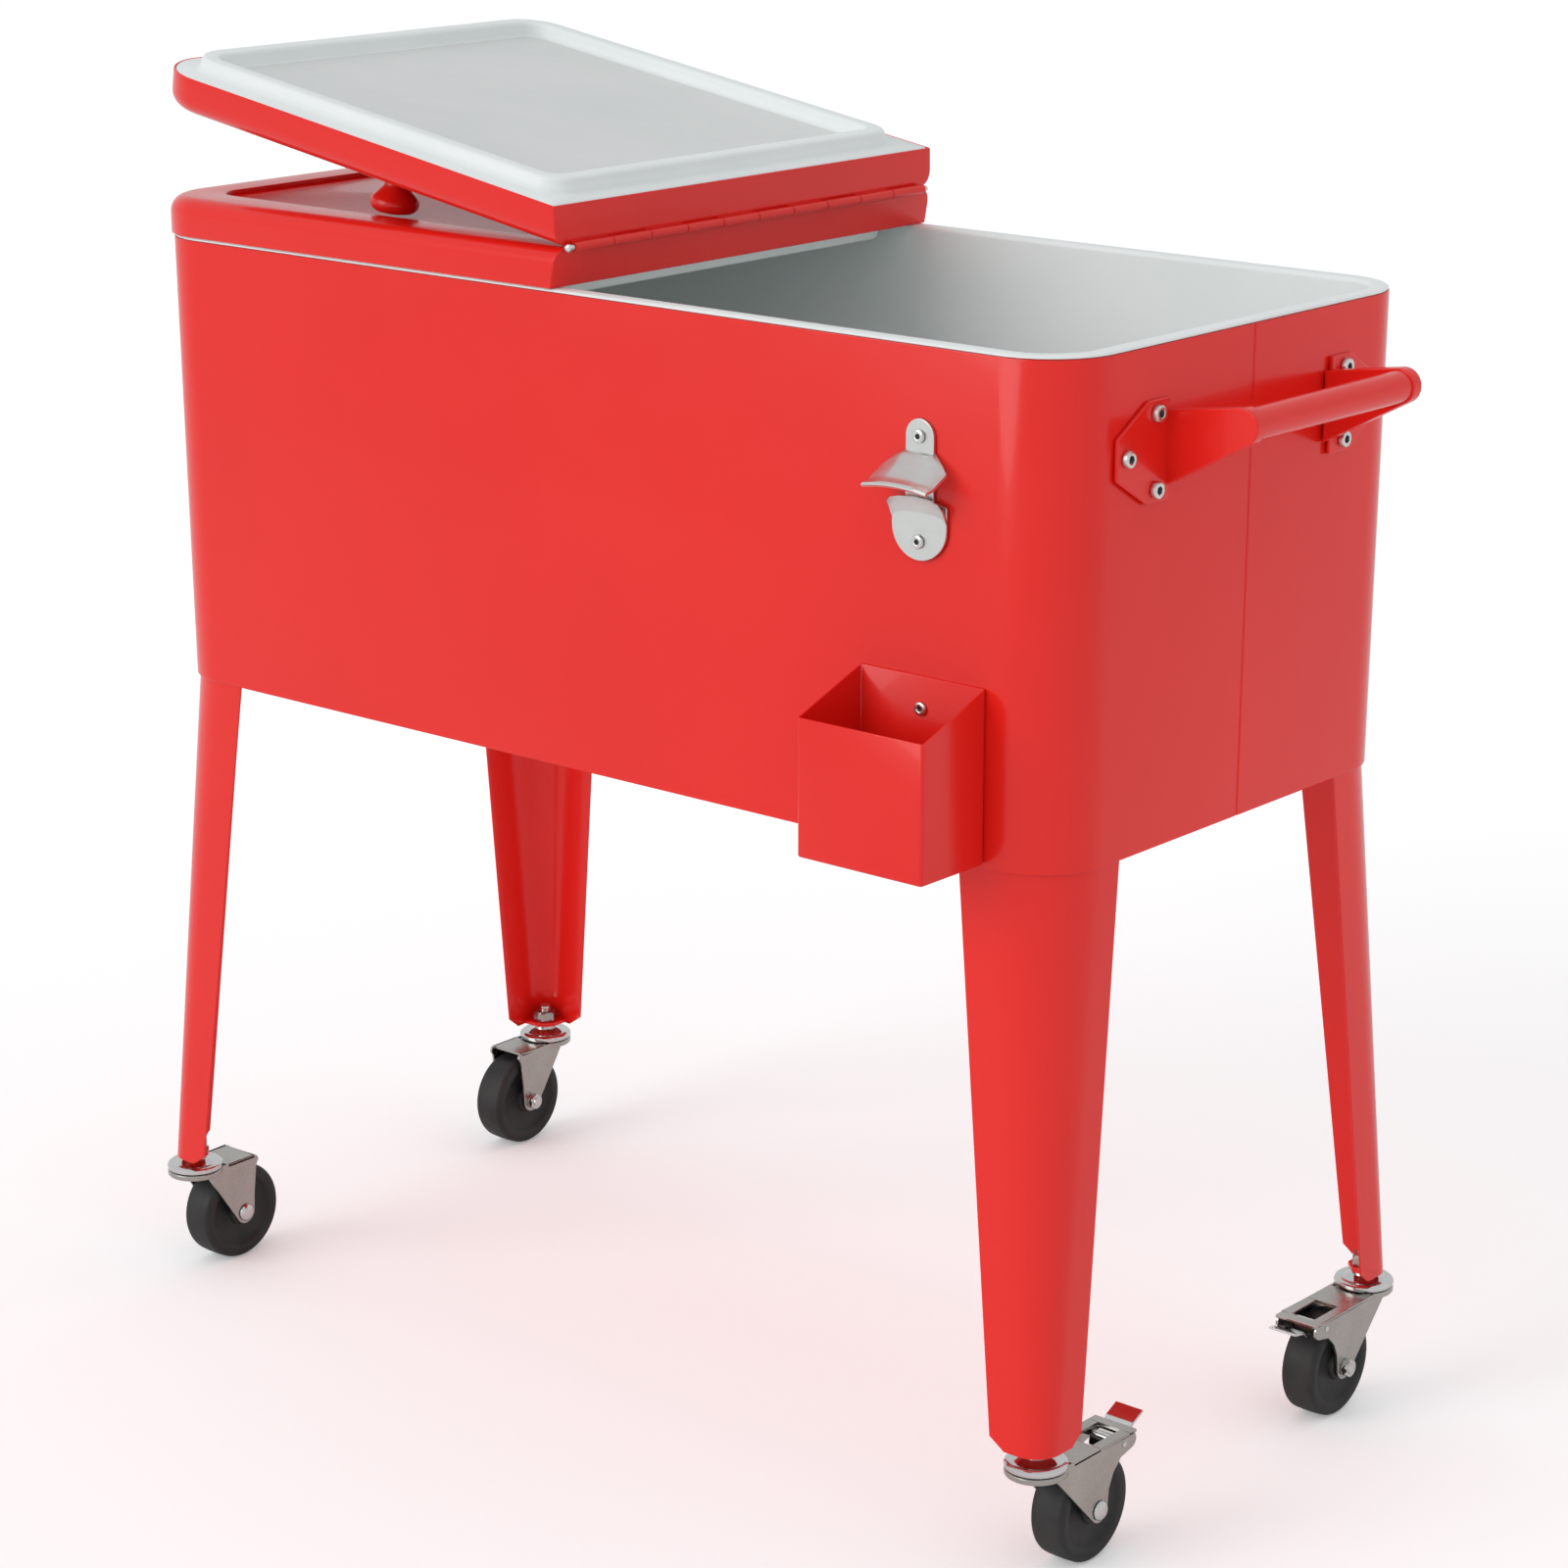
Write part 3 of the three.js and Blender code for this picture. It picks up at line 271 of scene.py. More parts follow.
RED = enamel()
WHITE = moulded("white_liner", (0.80, 0.84, 0.825), (0.84, 0.87, 0.86))
PANEL = moulded("lid_panel", (0.68, 0.70, 0.685), (0.72, 0.735, 0.72), (0.42, 0.52))
FOAM = rigid_foam()
NICKEL = plated("bright_nickel", (0.40, 0.385, 0.355), (0.47, 0.455, 0.425), (0.2, 0.34), (1, 1, 1))
CHROME = plated("chrome", (0.60, 0.60, 0.59), (0.68, 0.68, 0.67), (0.06, 0.14), (1, 1, 1))
SATIN = plated("satin_steel", (0.66, 0.67, 0.65), (0.74, 0.75, 0.73), (0.24, 0.42), (0.12, 1, 1))
RUBBER = tyre_rubber()
SOCKET = moulded("socket_shadow", (0.012, 0.012, 0.012), (0.02, 0.02, 0.02), (0.5, 0.7))


# ------------------------------------------------------------------ mesh building
def add_piece(name, shape, materials, body, nodes=(), place=None, bevel=0.0, crease=35):
    """Turns a bmesh into a piece that rides on a body and stands for CAD nodes."""
    materials = materials if isinstance(materials, tuple) else (materials,)
    if place is not None:
        shape.transform(place)
    bmesh.ops.remove_doubles(shape, verts=shape.verts, dist=1e-6)
    bmesh.ops.recalc_face_normals(shape, faces=shape.faces)
    mesh = bpy.data.meshes.new(name)
    shape.to_mesh(mesh)
    shape.free()
    for material in materials:
        mesh.materials.append(material)
    mesh.polygons.foreach_set("use_smooth", [True] * len(mesh.polygons))
    mesh.set_sharp_from_angle(angle=radians(crease))
    piece = bpy.data.objects.new(name, mesh)
    bpy.context.scene.collection.objects.link(piece)
    if bevel:
        modifier = piece.modifiers.new("edges", "BEVEL")
        modifier.width = bevel
        modifier.segments = 3
        modifier.limit_method = "ANGLE"
        modifier.angle_limit = radians(crease)
        modifier.harden_normals = True
    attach(piece, body)
    if nodes:
        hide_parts(*([nodes] if isinstance(nodes, str) else nodes))
    return piece


def loft(rows, start=False, end=False, loop=False, into=None, material=0, end_material=None):
    """Joins closed rows of points with faces; start and end close the first and last row."""
    shape = into or bmesh.new()
    made = [[shape.verts.new(p) for p in row] for row in rows]
    pairs = list(zip(made, made[1:]))
    if loop:
        pairs.append((made[-1], made[0]))
    faces = []
    for low, high in pairs:
        for i in range(len(low)):
            j = (i + 1) % len(low)
            faces.append(shape.faces.new((low[i], low[j], high[j], high[i])))
    if start:
        faces.append(shape.faces.new(list(reversed(made[0]))))
    for face in faces:
        face.material_index = material
    if end:
        cap = shape.faces.new(made[-1])
        cap.material_index = material if end_material is None else end_material
    return shape


def rounded(x0, x1, y, near, far, steps=8):
    """A rectangle in plan, anticlockwise, with radius near at its x0 corners and far at its x1 corners."""
    corners = [(x1 - far, far - y, far, -90), (x1 - far, y - far, far, 0)]
    corners += [(x0 + near, y - near, near, 90), (x0 + near, near - y, near, 180)]
    points = []
    for cx, cy, r, start in corners:
        for k in range(steps + 1):
            a = radians(start + 90 * k / steps)
            points.append((cx + r * cos(a), cy + r * sin(a)))
    return points


def turned(profile, steps=40, into=None, material=0, end_material=None):
    """A profile of (radius, z) turned about Z and closed at both ends; (radius, z, 6) is a hexagon."""
    rows = []
    for radius, z, *sides in profile:
        row = []
        for k in range(steps):
            a = 2 * pi * k / steps
            r = radius
            if sides:
                part = 2 * pi / sides[0]
                r = radius * cos(part / 2) / cos((a % part) - part / 2)
            row.append((r * cos(a), r * sin(a), z))
        rows.append(row)
    return loft(rows, start=True, end=True, into=into, material=material, end_material=end_material)


def along_x(shape):
    shape.transform(Matrix.Rotation(pi / 2, 4, "Y"))
    return shape


def along_y(shape):
    """Turns an upright shape so that its +Z points to the front, -Y."""
    shape.transform(Matrix.Rotation(pi / 2, 4, "X"))
    return shape


def slab(outline, low, high, axis, into=None):
    """A flat outline given a thickness along an axis: the outline holds the other two coordinates."""
    order = {"X": lambda u, v, w: (w, u, v), "Y": lambda u, v, w: (u, w, v), "Z": lambda u, v, w: (u, v, w)}[axis]
    return loft([[order(u, v, w) for u, v in outline] for w in (low, high)], True, True, into=into)


def block(x0, x1, y0, y1, z0, z1, into=None):
    return slab([(x0, y0), (x1, y0), (x1, y1), (x0, y1)], z0, z1, "Z", into)


def arc(cx, cy, radius, start, stop, steps=10):
    angles = [radians(start + (stop - start) * k / steps) for k in range(steps + 1)]
    return [(cx + radius * cos(a), cy + radius * sin(a)) for a in angles]


# ------------------------------------------------------------------ chest
def flare_at(z):
    return CHEST_FLARE * (z - CHEST_Z) / (RIM_Z - CHEST_Z)


def chest_row(inset, z, seam=0.0):
    """The chest's wall in plan at one height. The seam is a shallow groove up the middle of each end."""
    grow = flare_at(z) - inset
    outline = rounded(-HALF_X - grow, HALF_X + grow, HALF_Y + grow, CHEST_CORNER - inset, CHEST_CORNER - inset, 12)
    right = [(HALF_X + grow - d, SEAM_Y + dy) for d, dy in seam_shape(seam)]
    left = [(-x, y) for x, y in reversed(right)]
    quarter = 13
    points = outline[:quarter] + right + outline[quarter:3 * quarter] + left + outline[3 * quarter:]
    return [(x, y + CENTRE_Y, z) for x, y in points]


def seam_shape(depth):
    return [(0, -0.0012), (depth, -0.0004), (depth, 0.0004), (0, 0.0012)]


def add_chest():
    seam = 0.0009
    profile = [(SHEET, CHEST_Z + 0.020), (SHEET, CHEST_Z + 0.0006), (0.0009, CHEST_Z), (0.0003, CHEST_Z)]
    profile += [(0, CHEST_Z + 0.0004), (0, RIM_Z - 0.0006), (0.0003, RIM_Z), (SHEET, RIM_Z), (SHEET, RIM_Z - 0.012)]
    rows = [chest_row(inset, z, seam if inset < 0.001 else 0) for inset, z in profile]
    add_piece("chest_skin", loft(rows), RED, "chest", "body_shell")


def tub_row(inset, z, corner):
    grow = CHEST_FLARE - inset
    outline = rounded(-HALF_X - grow, HALF_X + grow, HALF_Y + grow, corner, corner, 12)
    return [(x, y + CENTRE_Y, z) for x, y in outline]


def add_tub():
    rim_low = RIM_Z + 0.0003
    rim_top = rim_low + RIM
    wall = TUB_INSET_FLOOR - TUB_INSET_TOP
    rows = [tub_row(0.006, rim_low, CHEST_CORNER - 0.006), tub_row(0.0008, rim_low, CHEST_CORNER)]
    rows += [tub_row(0.0004, rim_low + 0.0005, CHEST_CORNER), tub_row(0.0004, rim_top - 0.0008, CHEST_CORNER)]
    rows += [tub_row(0.0010, rim_top - 0.0002, CHEST_CORNER), tub_row(0.0016, rim_top, CHEST_CORNER)]
    rows += [tub_row(TUB_INSET_TOP - 0.003, rim_top, TUB_CORNER + 0.003)]
    for k in range(1, 6):
        a = radians(18 * k)
        rows.append(tub_row(TUB_INSET_TOP - 0.003 + 0.003 * sin(a), rim_top - 0.003 * (1 - cos(a)), TUB_CORNER))
    fillet = 0.018
    low = TUB_FLOOR_Z + fillet
    for k in range(7):
        a = radians(15 * k)
        inset = TUB_INSET_TOP + wall + fillet * (1 - cos(a))
        rows.append(tub_row(inset, low - fillet * sin(a), max(TUB_CORNER - fillet * (1 - cos(a)), 0.012)))
    add_piece("tub", loft(rows, end=True), WHITE, "chest", "tub_liner")


def add_drain():
    low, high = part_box("drain_fitting")
    x, y = (low.x + high.x) / 2, (low.y + high.y) / 2
    top = high.z - low.z
    profile = [(0.0085, 0), (0.009, 0.0005), (0.009, top - 0.0025), (0.0195, top - 0.0022), (0.020, top - 0.001)]
    profile += [(0.017, top), (0.008, top - 0.0006), (0.0068, top - 0.002), (0.0066, 0.02)]
    shape = turned(profile, end_material=1)
    add_piece("drain_bush", shape, (WHITE, SOCKET), "chest", "drain_fitting", Matrix.Translation((x, y, low.z)))
    low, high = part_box("drain_cap")
    rows = []
    for inset, z in [(0.002, 0), (0.0005, 0.0008), (0, 0.0022), (0, 0.0145), (0.001, 0.0157), (0.0045, 0.016), (0.0055, 0.013), (0.0056, 0.004)]:
        row = []
        for k in range(96):
            a = 2 * pi * k / 96
            grip = 0.0007 * (k % 4 > 1) if inset < 0.001 else 0
            row.append(((0.0149 - inset - grip) * cos(a), (0.0149 - inset - grip) * sin(a), z))
        rows.append(row)
    shape = loft(rows, start=True)
    add_piece("drain_screw_cap", shape, WHITE, "drain_cap", "drain_cap", Matrix.Translation((x, y, low.z)))


# ------------------------------------------------------------------ legs
def leg_section(width, radius, offset, z, chamfer=0.0):
    """An angle section in plan with its outer corner at the offset; its flanges run along +X and +Y."""
    a, b = width
    t = LEG_SHEET
    outer = [(a, 0), (a - 0.012, 0)] + list(reversed(arc(radius, radius, radius, 180, 270, 12))) + [(0, b - 0.010), (0, b)]
    inner = [(t, b), (t, b - 0.010)] + arc(radius, radius, radius - t, 180, 270, 12) + [(a - 0.012, t), (a, t)]
    tips = {0, len(outer) - 1, len(outer), len(outer) + len(inner) - 1}
    ox, oy = offset
    return [(x + ox, y + oy, z + (chamfer if i in tips else 0)) for i, (x, y) in enumerate(outer + inner)]


def add_leg(label, sign_x, sign_y):
    tuck = SHEET + 0.0005 + 0.0003 + 0.0001
    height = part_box("leg_" + label)[1].z - FOOT_Z
    low = leg_section(LEG_FOOT, LEG_FOOT_CORNER, (0, 0), 0, 0.008)
    offset = (LEG_SPREAD[0] + tuck, LEG_SPREAD[1] + tuck)
    high = leg_section(LEG_TOP, CHEST_CORNER + 0.001, offset, height)
    shape = loft([low, high], start=True, end=True)
    r = LEG_FOOT_CORNER
    inset = LEG_SHEET * 0.6
    foot = [(0.027, inset), (0.027, 0.018), (0.018, 0.027), (inset, 0.027)] + arc(r, r, r - inset, 180, 270, 12)
    slab(foot, 0.0008, 0.0038, "Z", shape)
    corner = CHEST_CORNER + 0.001
    ox, oy = offset
    tab = [(ox + LEG_TOP[0] - 0.006, oy + inset), (ox + inset, oy + LEG_TOP[1] - 0.006)]
    tab += arc(ox + corner, oy + corner, corner - inset, 180, 270, 12)
    slab(tab, height - 0.0038, height - 0.0008, "Z", shape)
    place = Matrix.Translation((sign_x * (HALF_X + LEG_SPREAD[0]), sign_y * (HALF_Y + LEG_SPREAD[1]) + CENTRE_Y, FOOT_Z))
    place = place @ Matrix.Diagonal((-sign_x, -sign_y, 1, 1))
    add_piece("leg_sheet_" + label, shape, RED, "chest", "leg_" + label, place, bevel=0.0004)
    bolt = [(0.0065, 0.0055, 6), (0.0070, 0.0048, 6), (0.0070, 0.0005, 6), (0.0066, 0, 6)]
    spot = place @ Vector((ox + 0.033, oy + 0.033, height - 0.0038 - 0.0058))
    add_piece("leg_bolt_" + label, turned(bolt, 48), NICKEL, "chest", place=Matrix.Translation(spot))


# ------------------------------------------------------------------ casters
def caster_place(label):
    sign_x, sign_y = CORNERS[label]
    x = sign_x * (HALF_X + LEG_SPREAD[0] - SWIVEL[0])
    y = sign_y * (HALF_Y + LEG_SPREAD[1] - SWIVEL[1]) + CENTRE_Y
    return Matrix.Translation((x, y, 0)) @ Matrix.Rotation(pi if sign_y > 0 else 0, 4, "Z")


def add_stem(label):
    low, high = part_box("caster_stem_" + label)
    z = FORK_TOP + 0.0003
    foot = FOOT_Z + 0.0005
    profile = [(0.0065, low.z), (0.0078, low.z + 0.0006), (0.0078, low.z + 0.0024), (0.0052, low.z + 0.003)]
    profile += [(0.005, z), (0.0195, z), (0.0209, z + 0.0008), (0.0213, z + 0.0022), (0.0209, z + 0.0038)]
    profile += [(0.0196, z + 0.0049), (0.0178, z + 0.0053), (0.0160, z + 0.0047), (0.0145, z + 0.0050), (0.0125, z + 0.0062)]
    profile += [(0.0095, z + 0.0072), (0.0088, z + 0.0078), (0.0088, foot - 0.0004), (0.0084, foot), (0.005, foot)]
    thread = foot + 0.004
    turns = int((high.z - 0.0012 - thread) / 0.0012)
    for k in range(turns):
        profile += [(0.005, thread + 0.0012 * k), (0.0044, thread + 0.0012 * k + 0.0006)]
    profile += [(0.0046, high.z - 0.0005), (0.004, high.z)]
    place = caster_place(label)
    add_piece("stem_" + label, turned(profile, 48), CHROME, "chest", "caster_stem_" + label, place)
    low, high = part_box("stem_nut_" + label)
    h = high.z - low.z
    ring = [(0.0052, low.z), (0.0083, low.z), (0.0098, low.z + 0.0009, 6), (0.0098, low.z + h - 0.0009, 6)]
    ring += [(0.0083, low.z + h), (0.0052, low.z + h)]
    rows_shape = turned(ring, 48)
    add_piece("hex_nut_" + label, rows_shape, NICKEL, "chest", "stem_nut_" + label, place)


def fork_side(trail, braked):
    """A side plate in the YZ plane: straight front edge, round end at the axle, hollow back edge."""
    r = 0.009
    z = WHEEL_RADIUS
    edge = FORK_TOP - FORK_SKIRT
    away = hypot(FORK_SIDE_START - trail, edge - z)
    tangent = degrees(atan2(edge - z, FORK_SIDE_START - trail) + acos(r / away))
    outline = [(FORK_SIDE_START, FORK_TOP), (FORK_SIDE_START, edge)]
    outline += arc(trail, z, r, tangent, 364, 14)
    if braked:
        outline += [(trail + r + 0.0012, z + 0.012), (trail + r + 0.006, z + 0.022), (trail + r + 0.014, z + 0.0295)]
        outline += arc(BRAKE_REACH - 0.006, FORK_TOP - 0.0062, 0.0058, -75, 90, 8)
    else:
        outline += [(trail + r + 0.0008, z + 0.014), (trail + r + 0.0035, FORK_TOP - 0.008)]
        outline += arc(trail + r + 0.002, FORK_TOP - 0.004, 0.004, 0, 90, 5)
    return outline


def add_fork(label, trail, braked):
    wide = FORK_INNER + FORK_SHEET
    top_end = BRAKE_REACH - 0.006 if braked else trail + 0.011
    plate_z = FORK_TOP - FORK_SHEET
    shape = bmesh.new()
    for side in (-1, 1):
        slab(fork_side(trail, braked), side * FORK_INNER, side * wide, "X", shape)
    roll = 0.0006
    head = [(0.0185, FORK_TOP - 0.0043), (FORK_HEAD - 0.0004, FORK_TOP - 0.0043), (FORK_HEAD, FORK_TOP - 0.0036)]
    head += [(FORK_HEAD, FORK_TOP - roll), (FORK_HEAD - roll, FORK_TOP), (0.0053, FORK_TOP), (0.0053, plate_z), (0.0185, plate_z)]
    rows = [[(r * cos(2 * pi * k / 48), r * sin(2 * pi * k / 48), z) for k in range(48)] for r, z in head]
    loft(rows, loop=True, into=shape)
    strips = [(-wide, wide, 0.0186, top_end)]
    if braked:
        near, far, half = BRAKE_WINDOW
        strips = [(-wide, wide, 0.0186, near), (-wide, -half, near, far), (half, wide, near, far), (-wide, wide, far, BRAKE_REACH)]
    for x0, x1, y0, y1 in strips:
        block(x0, x1, y0, y1, plate_z, FORK_TOP, shape)
    place = caster_place(label)
    add_piece("fork_" + label, shape, NICKEL, "fork_" + label, "caster_fork_" + label, place, bevel=0.0005)
    end = wide + 0.0003
    dome = [(0.0052, 0), (0.0069, 0.0002), (0.0068, 0.0010), (0.0060, 0.0020), (0.0046, 0.0028), (0.0026, 0.0033)]
    shape = turned([(0.004, -end)] + [(0.004, end)] + [(r, end + z) for r, z in dome], 32)
    nut = [(0.0062, -end), (0.0069, -end - 0.0008, 6), (0.0069, -end - 0.0042, 6), (0.0060, -end - 0.005), (0.0039, -end - 0.005), (0.0036, -end - 0.006)]
    turned(nut, 48, shape)
    spot = place @ Matrix.Translation((0, trail, WHEEL_RADIUS))
    add_piece("axle_bolt_" + label, along_x(shape), CHROME, "fork_" + label, "axle_" + label, spot)


def add_wheel(label, trail):
    r, w = WHEEL_RADIUS, WHEEL_HALF
    half = [(0.0043, w), (0.0095, w), (0.0105, w - 0.0008), (0.0112, w - 0.0035), (0.0250, w - 0.0038)]
    half += [(0.0268, w - 0.0026), (0.0280, w - 0.0010), (0.0296, w - 0.0004), (r - 0.0044, w - 0.0002)]
    for k in range(1, 9):
        a = radians(11.25 * k)
        half.append((r - 0.0046 + 0.0043 * sin(a), w - 0.0040 + 0.0038 * cos(a)))
    half.append((r, w - 0.0090))
    profile = half + [(radius, -x) for radius, x in reversed(half)]
    rows = [[(p * cos(2 * pi * k / 64), p * sin(2 * pi * k / 64), x) for k in range(64)] for p, x in profile]
    shape = along_x(loft(rows, loop=True))
    place = caster_place(label) @ Matrix.Translation((0, trail, WHEEL_RADIUS))
    add_piece("tyre_" + label, shape, RUBBER, "wheel_" + label, "wheel_" + label, place, crease=50)


def add_pedal(label, pressed):
    z = FORK_TOP - FORK_SHEET - 0.004
    t = 0.0016
    top = 0.0032
    path = [(-0.002, top), (0.0146, top), (0.0156, top + 0.0008), (0.0168, 0.0060), (0.0180, 0.0072)]
    path += [(0.0280, 0.0119), (0.0290, 0.0125)]
    under = [(0.0297, 0.0112), (0.0288, 0.0104), (0.0190, 0.0057), (0.0183, 0.0049), (0.0171, 0.0026)]
    under += [(0.0160, top - t), (-0.002, top - t)]
    shape = slab(path + under, -0.011, 0.011, "X")
    dy, dz = 0.048 - PEDAL_PIVOT, WHEEL_RADIUS - z
    reach = hypot(dy, dz) - WHEEL_RADIUS - 0.0008 - 0.0022
    a = atan2(dz, dy) * 57.2958 + PEDAL_PRESS
    cam = arc(reach * cos(radians(a)), reach * sin(radians(a)), 0.0022, a - 80, a + 80, 8) + arc(0, 0, 0.0032, a + 95, a + 265, 10)
    slab(cam, -0.009, 0.009, "X", shape)
    pin = turned([(0.0016, -0.0178), (0.002, -0.0174), (0.002, 0.0174), (0.0016, 0.0178)], 20)
    along_x(pin)
    joined = bpy.data.meshes.new("pin")
    pin.to_mesh(joined)
    shape.from_mesh(joined)
    turn = Matrix.Rotation(radians(-PEDAL_PRESS if pressed else 0), 4, "X")
    place = caster_place(label) @ Matrix.Translation((0, PEDAL_PIVOT, z)) @ turn
    add_piece("toe_lever_" + label, shape, CHROME, "pedal_" + label, "brake_pedal_" + label, place, bevel=0.0003)


def add_casters():
    for label, (sign_x, _) in CORNERS.items():
        braked = sign_x > 0
        trail = 0.048 if braked else 0.0348
        add_leg(label, *CORNERS[label])
        add_stem(label)
        add_fork(label, trail, braked)
        add_wheel(label, trail)
        if braked:
            add_pedal(label, label == "rear_right")


# ------------------------------------------------------------------ lid
# Drawn for the right half, closed, with the hinge axis along Y through the origin.
LID_PLACES = {
    "left": Matrix.Translation((0, CENTRE_Y, HINGE_Z)) @ Matrix.Rotation(pi, 4, "Z"),
    "right": Matrix.Translation((0, CENTRE_Y, HINGE_Z)) @ Matrix.Rotation(-radians(180 - REST_TILT), 4, "Y"),
}


def lid_row(inset, z, thickness=0.0):
    """The lid's skirt in plan at one height: its inner end leans in towards the hinge."""
    foot, top = LID_END
    rise = min(1.0, (z + LID_HEIGHT) / (LID_HEIGHT - 0.0035))
    x0 = foot + (top - foot) * rise + thickness
    far = CHEST_CORNER - inset
    return [(x, y, z) for x, y in rounded(x0, LID_X - inset, LID_Y - inset, 0.0012, far, 12)]


def pocket_row(grow, z):
    inset = POCKET_INSET - grow
    corner = POCKET_CORNER + grow
    return [(x, y, z) for x, y in rounded(LID_END[1] + inset, LID_X - inset, LID_Y - inset, corner, corner, 12)]


def add_lid_shell(side):
    low = -LID_HEIGHT
    rows = [lid_row(SHEET, low + 0.004, SHEET), lid_row(SHEET, low + 0.0003, SHEET), lid_row(0.0006, low, 0.0006)]
    rows += [lid_row(0.0001, low + 0.0003, 0.0001), lid_row(0, low + 0.0009)]
    for k in range(9):
        a = radians(11.25 * k)
        rows.append(lid_row(LID_EDGE * (1 - cos(a)), -LID_EDGE * (1 - sin(a))))
    fillet = 0.0018
    for k in range(5):
        a = radians(22.5 * k)
        rows.append(pocket_row(fillet * 0.8 - fillet * 0.8 * sin(a) + 0.0004, -fillet * (1 - cos(a)) * 0.6))
    rows += [pocket_row(0.0004, -POCKET_DEPTH + 0.0012), pocket_row(-0.0004, -POCKET_DEPTH + 0.0003), pocket_row(-0.0014, -POCKET_DEPTH)]
    shape = loft(rows, end=True)
    first = -KNUCKLES * KNUCKLE_LENGTH / 2
    for k in range(0, KNUCKLES, 2):
        y0 = first + k * KNUCKLE_LENGTH + 0.0003
        y1 = y0 + KNUCKLE_LENGTH - 0.0006
        inner, outer = 0.0023, KNUCKLE_RADIUS - 0.0001
        ring = [(inner, y0), (outer - 0.0003, y0), (outer, y0 + 0.0003), (outer, y1 - 0.0003), (outer - 0.0003, y1), (inner, y1)]
        rows = [[(r * cos(2 * pi * i / 24), y, r * sin(2 * pi * i / 24)) for i in range(24)] for r, y in ring]
        loft(rows, loop=True, into=shape)
        block(0.0026, 0.0062, y0, y1, -0.0030, -0.0008, shape)
    body = side + "_lid"
    add_piece(side + "_lid_pressing", shape, RED, body, body + "_shell", LID_PLACES[side])


def liner_row(inset, z):
    corner = max(CHEST_CORNER - inset, 0.006)
    near = 0.003 if inset < 0.01 else corner * 0.6
    return [(x, y, z) for x, y in rounded(LID_END[0] + inset, LID_X - inset, LID_Y - inset, near, corner, 12)]


def add_lid_liner(side):
    face = -LID_HEIGHT
    edge = SHEET + 0.0004
    crest = face - RIDGE_DEPTH
    inner = RIDGE_INSET + RIDGE_WIDTH
    rows = [liner_row(edge + 0.0003, face + 0.0018), liner_row(edge, face + 0.0008), liner_row(edge + 0.0006, face)]
    rows += [liner_row(RIDGE_INSET - 0.0035, face), liner_row(RIDGE_INSET - 0.0010, face - 0.0009)]
    for k in range(6):
        a = radians(18 * k)
        rows.append(liner_row(RIDGE_INSET + 0.0008 + 0.0034 * (1 - cos(a)), crest + 0.0034 * (1 - sin(a))))
    for k in range(6):
        a = radians(18 * k)
        rows.append(liner_row(inner - 0.0042 + 0.0034 * sin(a), crest + 0.0034 * (1 - cos(a))))
    rows += [liner_row(inner + 0.0002, face - 0.0016), liner_row(inner + 0.0014, face - 0.0004), liner_row(inner + 0.0035, face)]
    shape = loft(rows, end=True, end_material=1)
    body = side + "_lid"
    add_piece(side + "_lid_inner", shape, (WHITE, PANEL), body, body + "_liner", LID_PLACES[side], crease=60)


def add_knob(side):
    low = -POCKET_DEPTH + 0.0003
    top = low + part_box("left_lid_knob")[1].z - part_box("left_lid_knob")[0].z
    r = 0.0173
    profile = [(0.0108, low), (0.0112, low + 0.001), (0.0098, low + 0.0028), (0.0084, low + 0.0055), (0.0078, low + 0.010)]
    profile += [(0.0080, top - 0.022), (0.0092, top - 0.018), (0.0122, top - 0.0142), (0.0158, top - 0.0108), (r - 0.0002, top - 0.0085)]
    profile += [(r, top - 0.0065), (r - 0.0004, top - 0.0035), (r - 0.0022, top - 0.0014), (r - 0.006, top - 0.0003), (0.004, top)]
    body = side + "_lid"
    spot = LID_PLACES[side] @ Matrix.Translation((0.212, -0.139, 0))
    add_piece(side + "_lid_grip", turned(profile, 48), RED, body, body + "_knob", spot)


def add_hinge_pin():
    low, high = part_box("hinge_pin")
    half = (high.y - low.y) / 2
    middle = (high.y + low.y) / 2
    profile = [(0.0016, -half), (0.002, -half + 0.0004), (0.002, half - 0.003), (0.0027, half - 0.003)]
    profile += [(0.0029, half - 0.0024), (0.0027, half - 0.0010), (0.0018, half - 0.0002), (0.0008, half)]
    shape = along_y(turned(profile, 24))
    add_piece("hinge_rod", shape, SATIN, "left_lid", "hinge_pin", Matrix.Translation((0, middle, HINGE_Z)))


def add_lids():
    for side in ("left", "right"):
        add_lid_shell(side)
        add_lid_liner(side)
        add_knob(side)
    add_hinge_pin()


# ------------------------------------------------------------------ handles
def socket_screw(radius, height, socket):
    profile = [(radius - 0.0004, 0), (radius, 0.0005), (radius, height - 0.0012), (radius - 0.0004, height - 0.0004)]
    profile += [(radius - 0.0012, height), (socket + 0.0004, height), (socket, height - 0.0004, 6), (socket, height * 0.35, 6)]
    return turned(profile, 48, end_material=1)


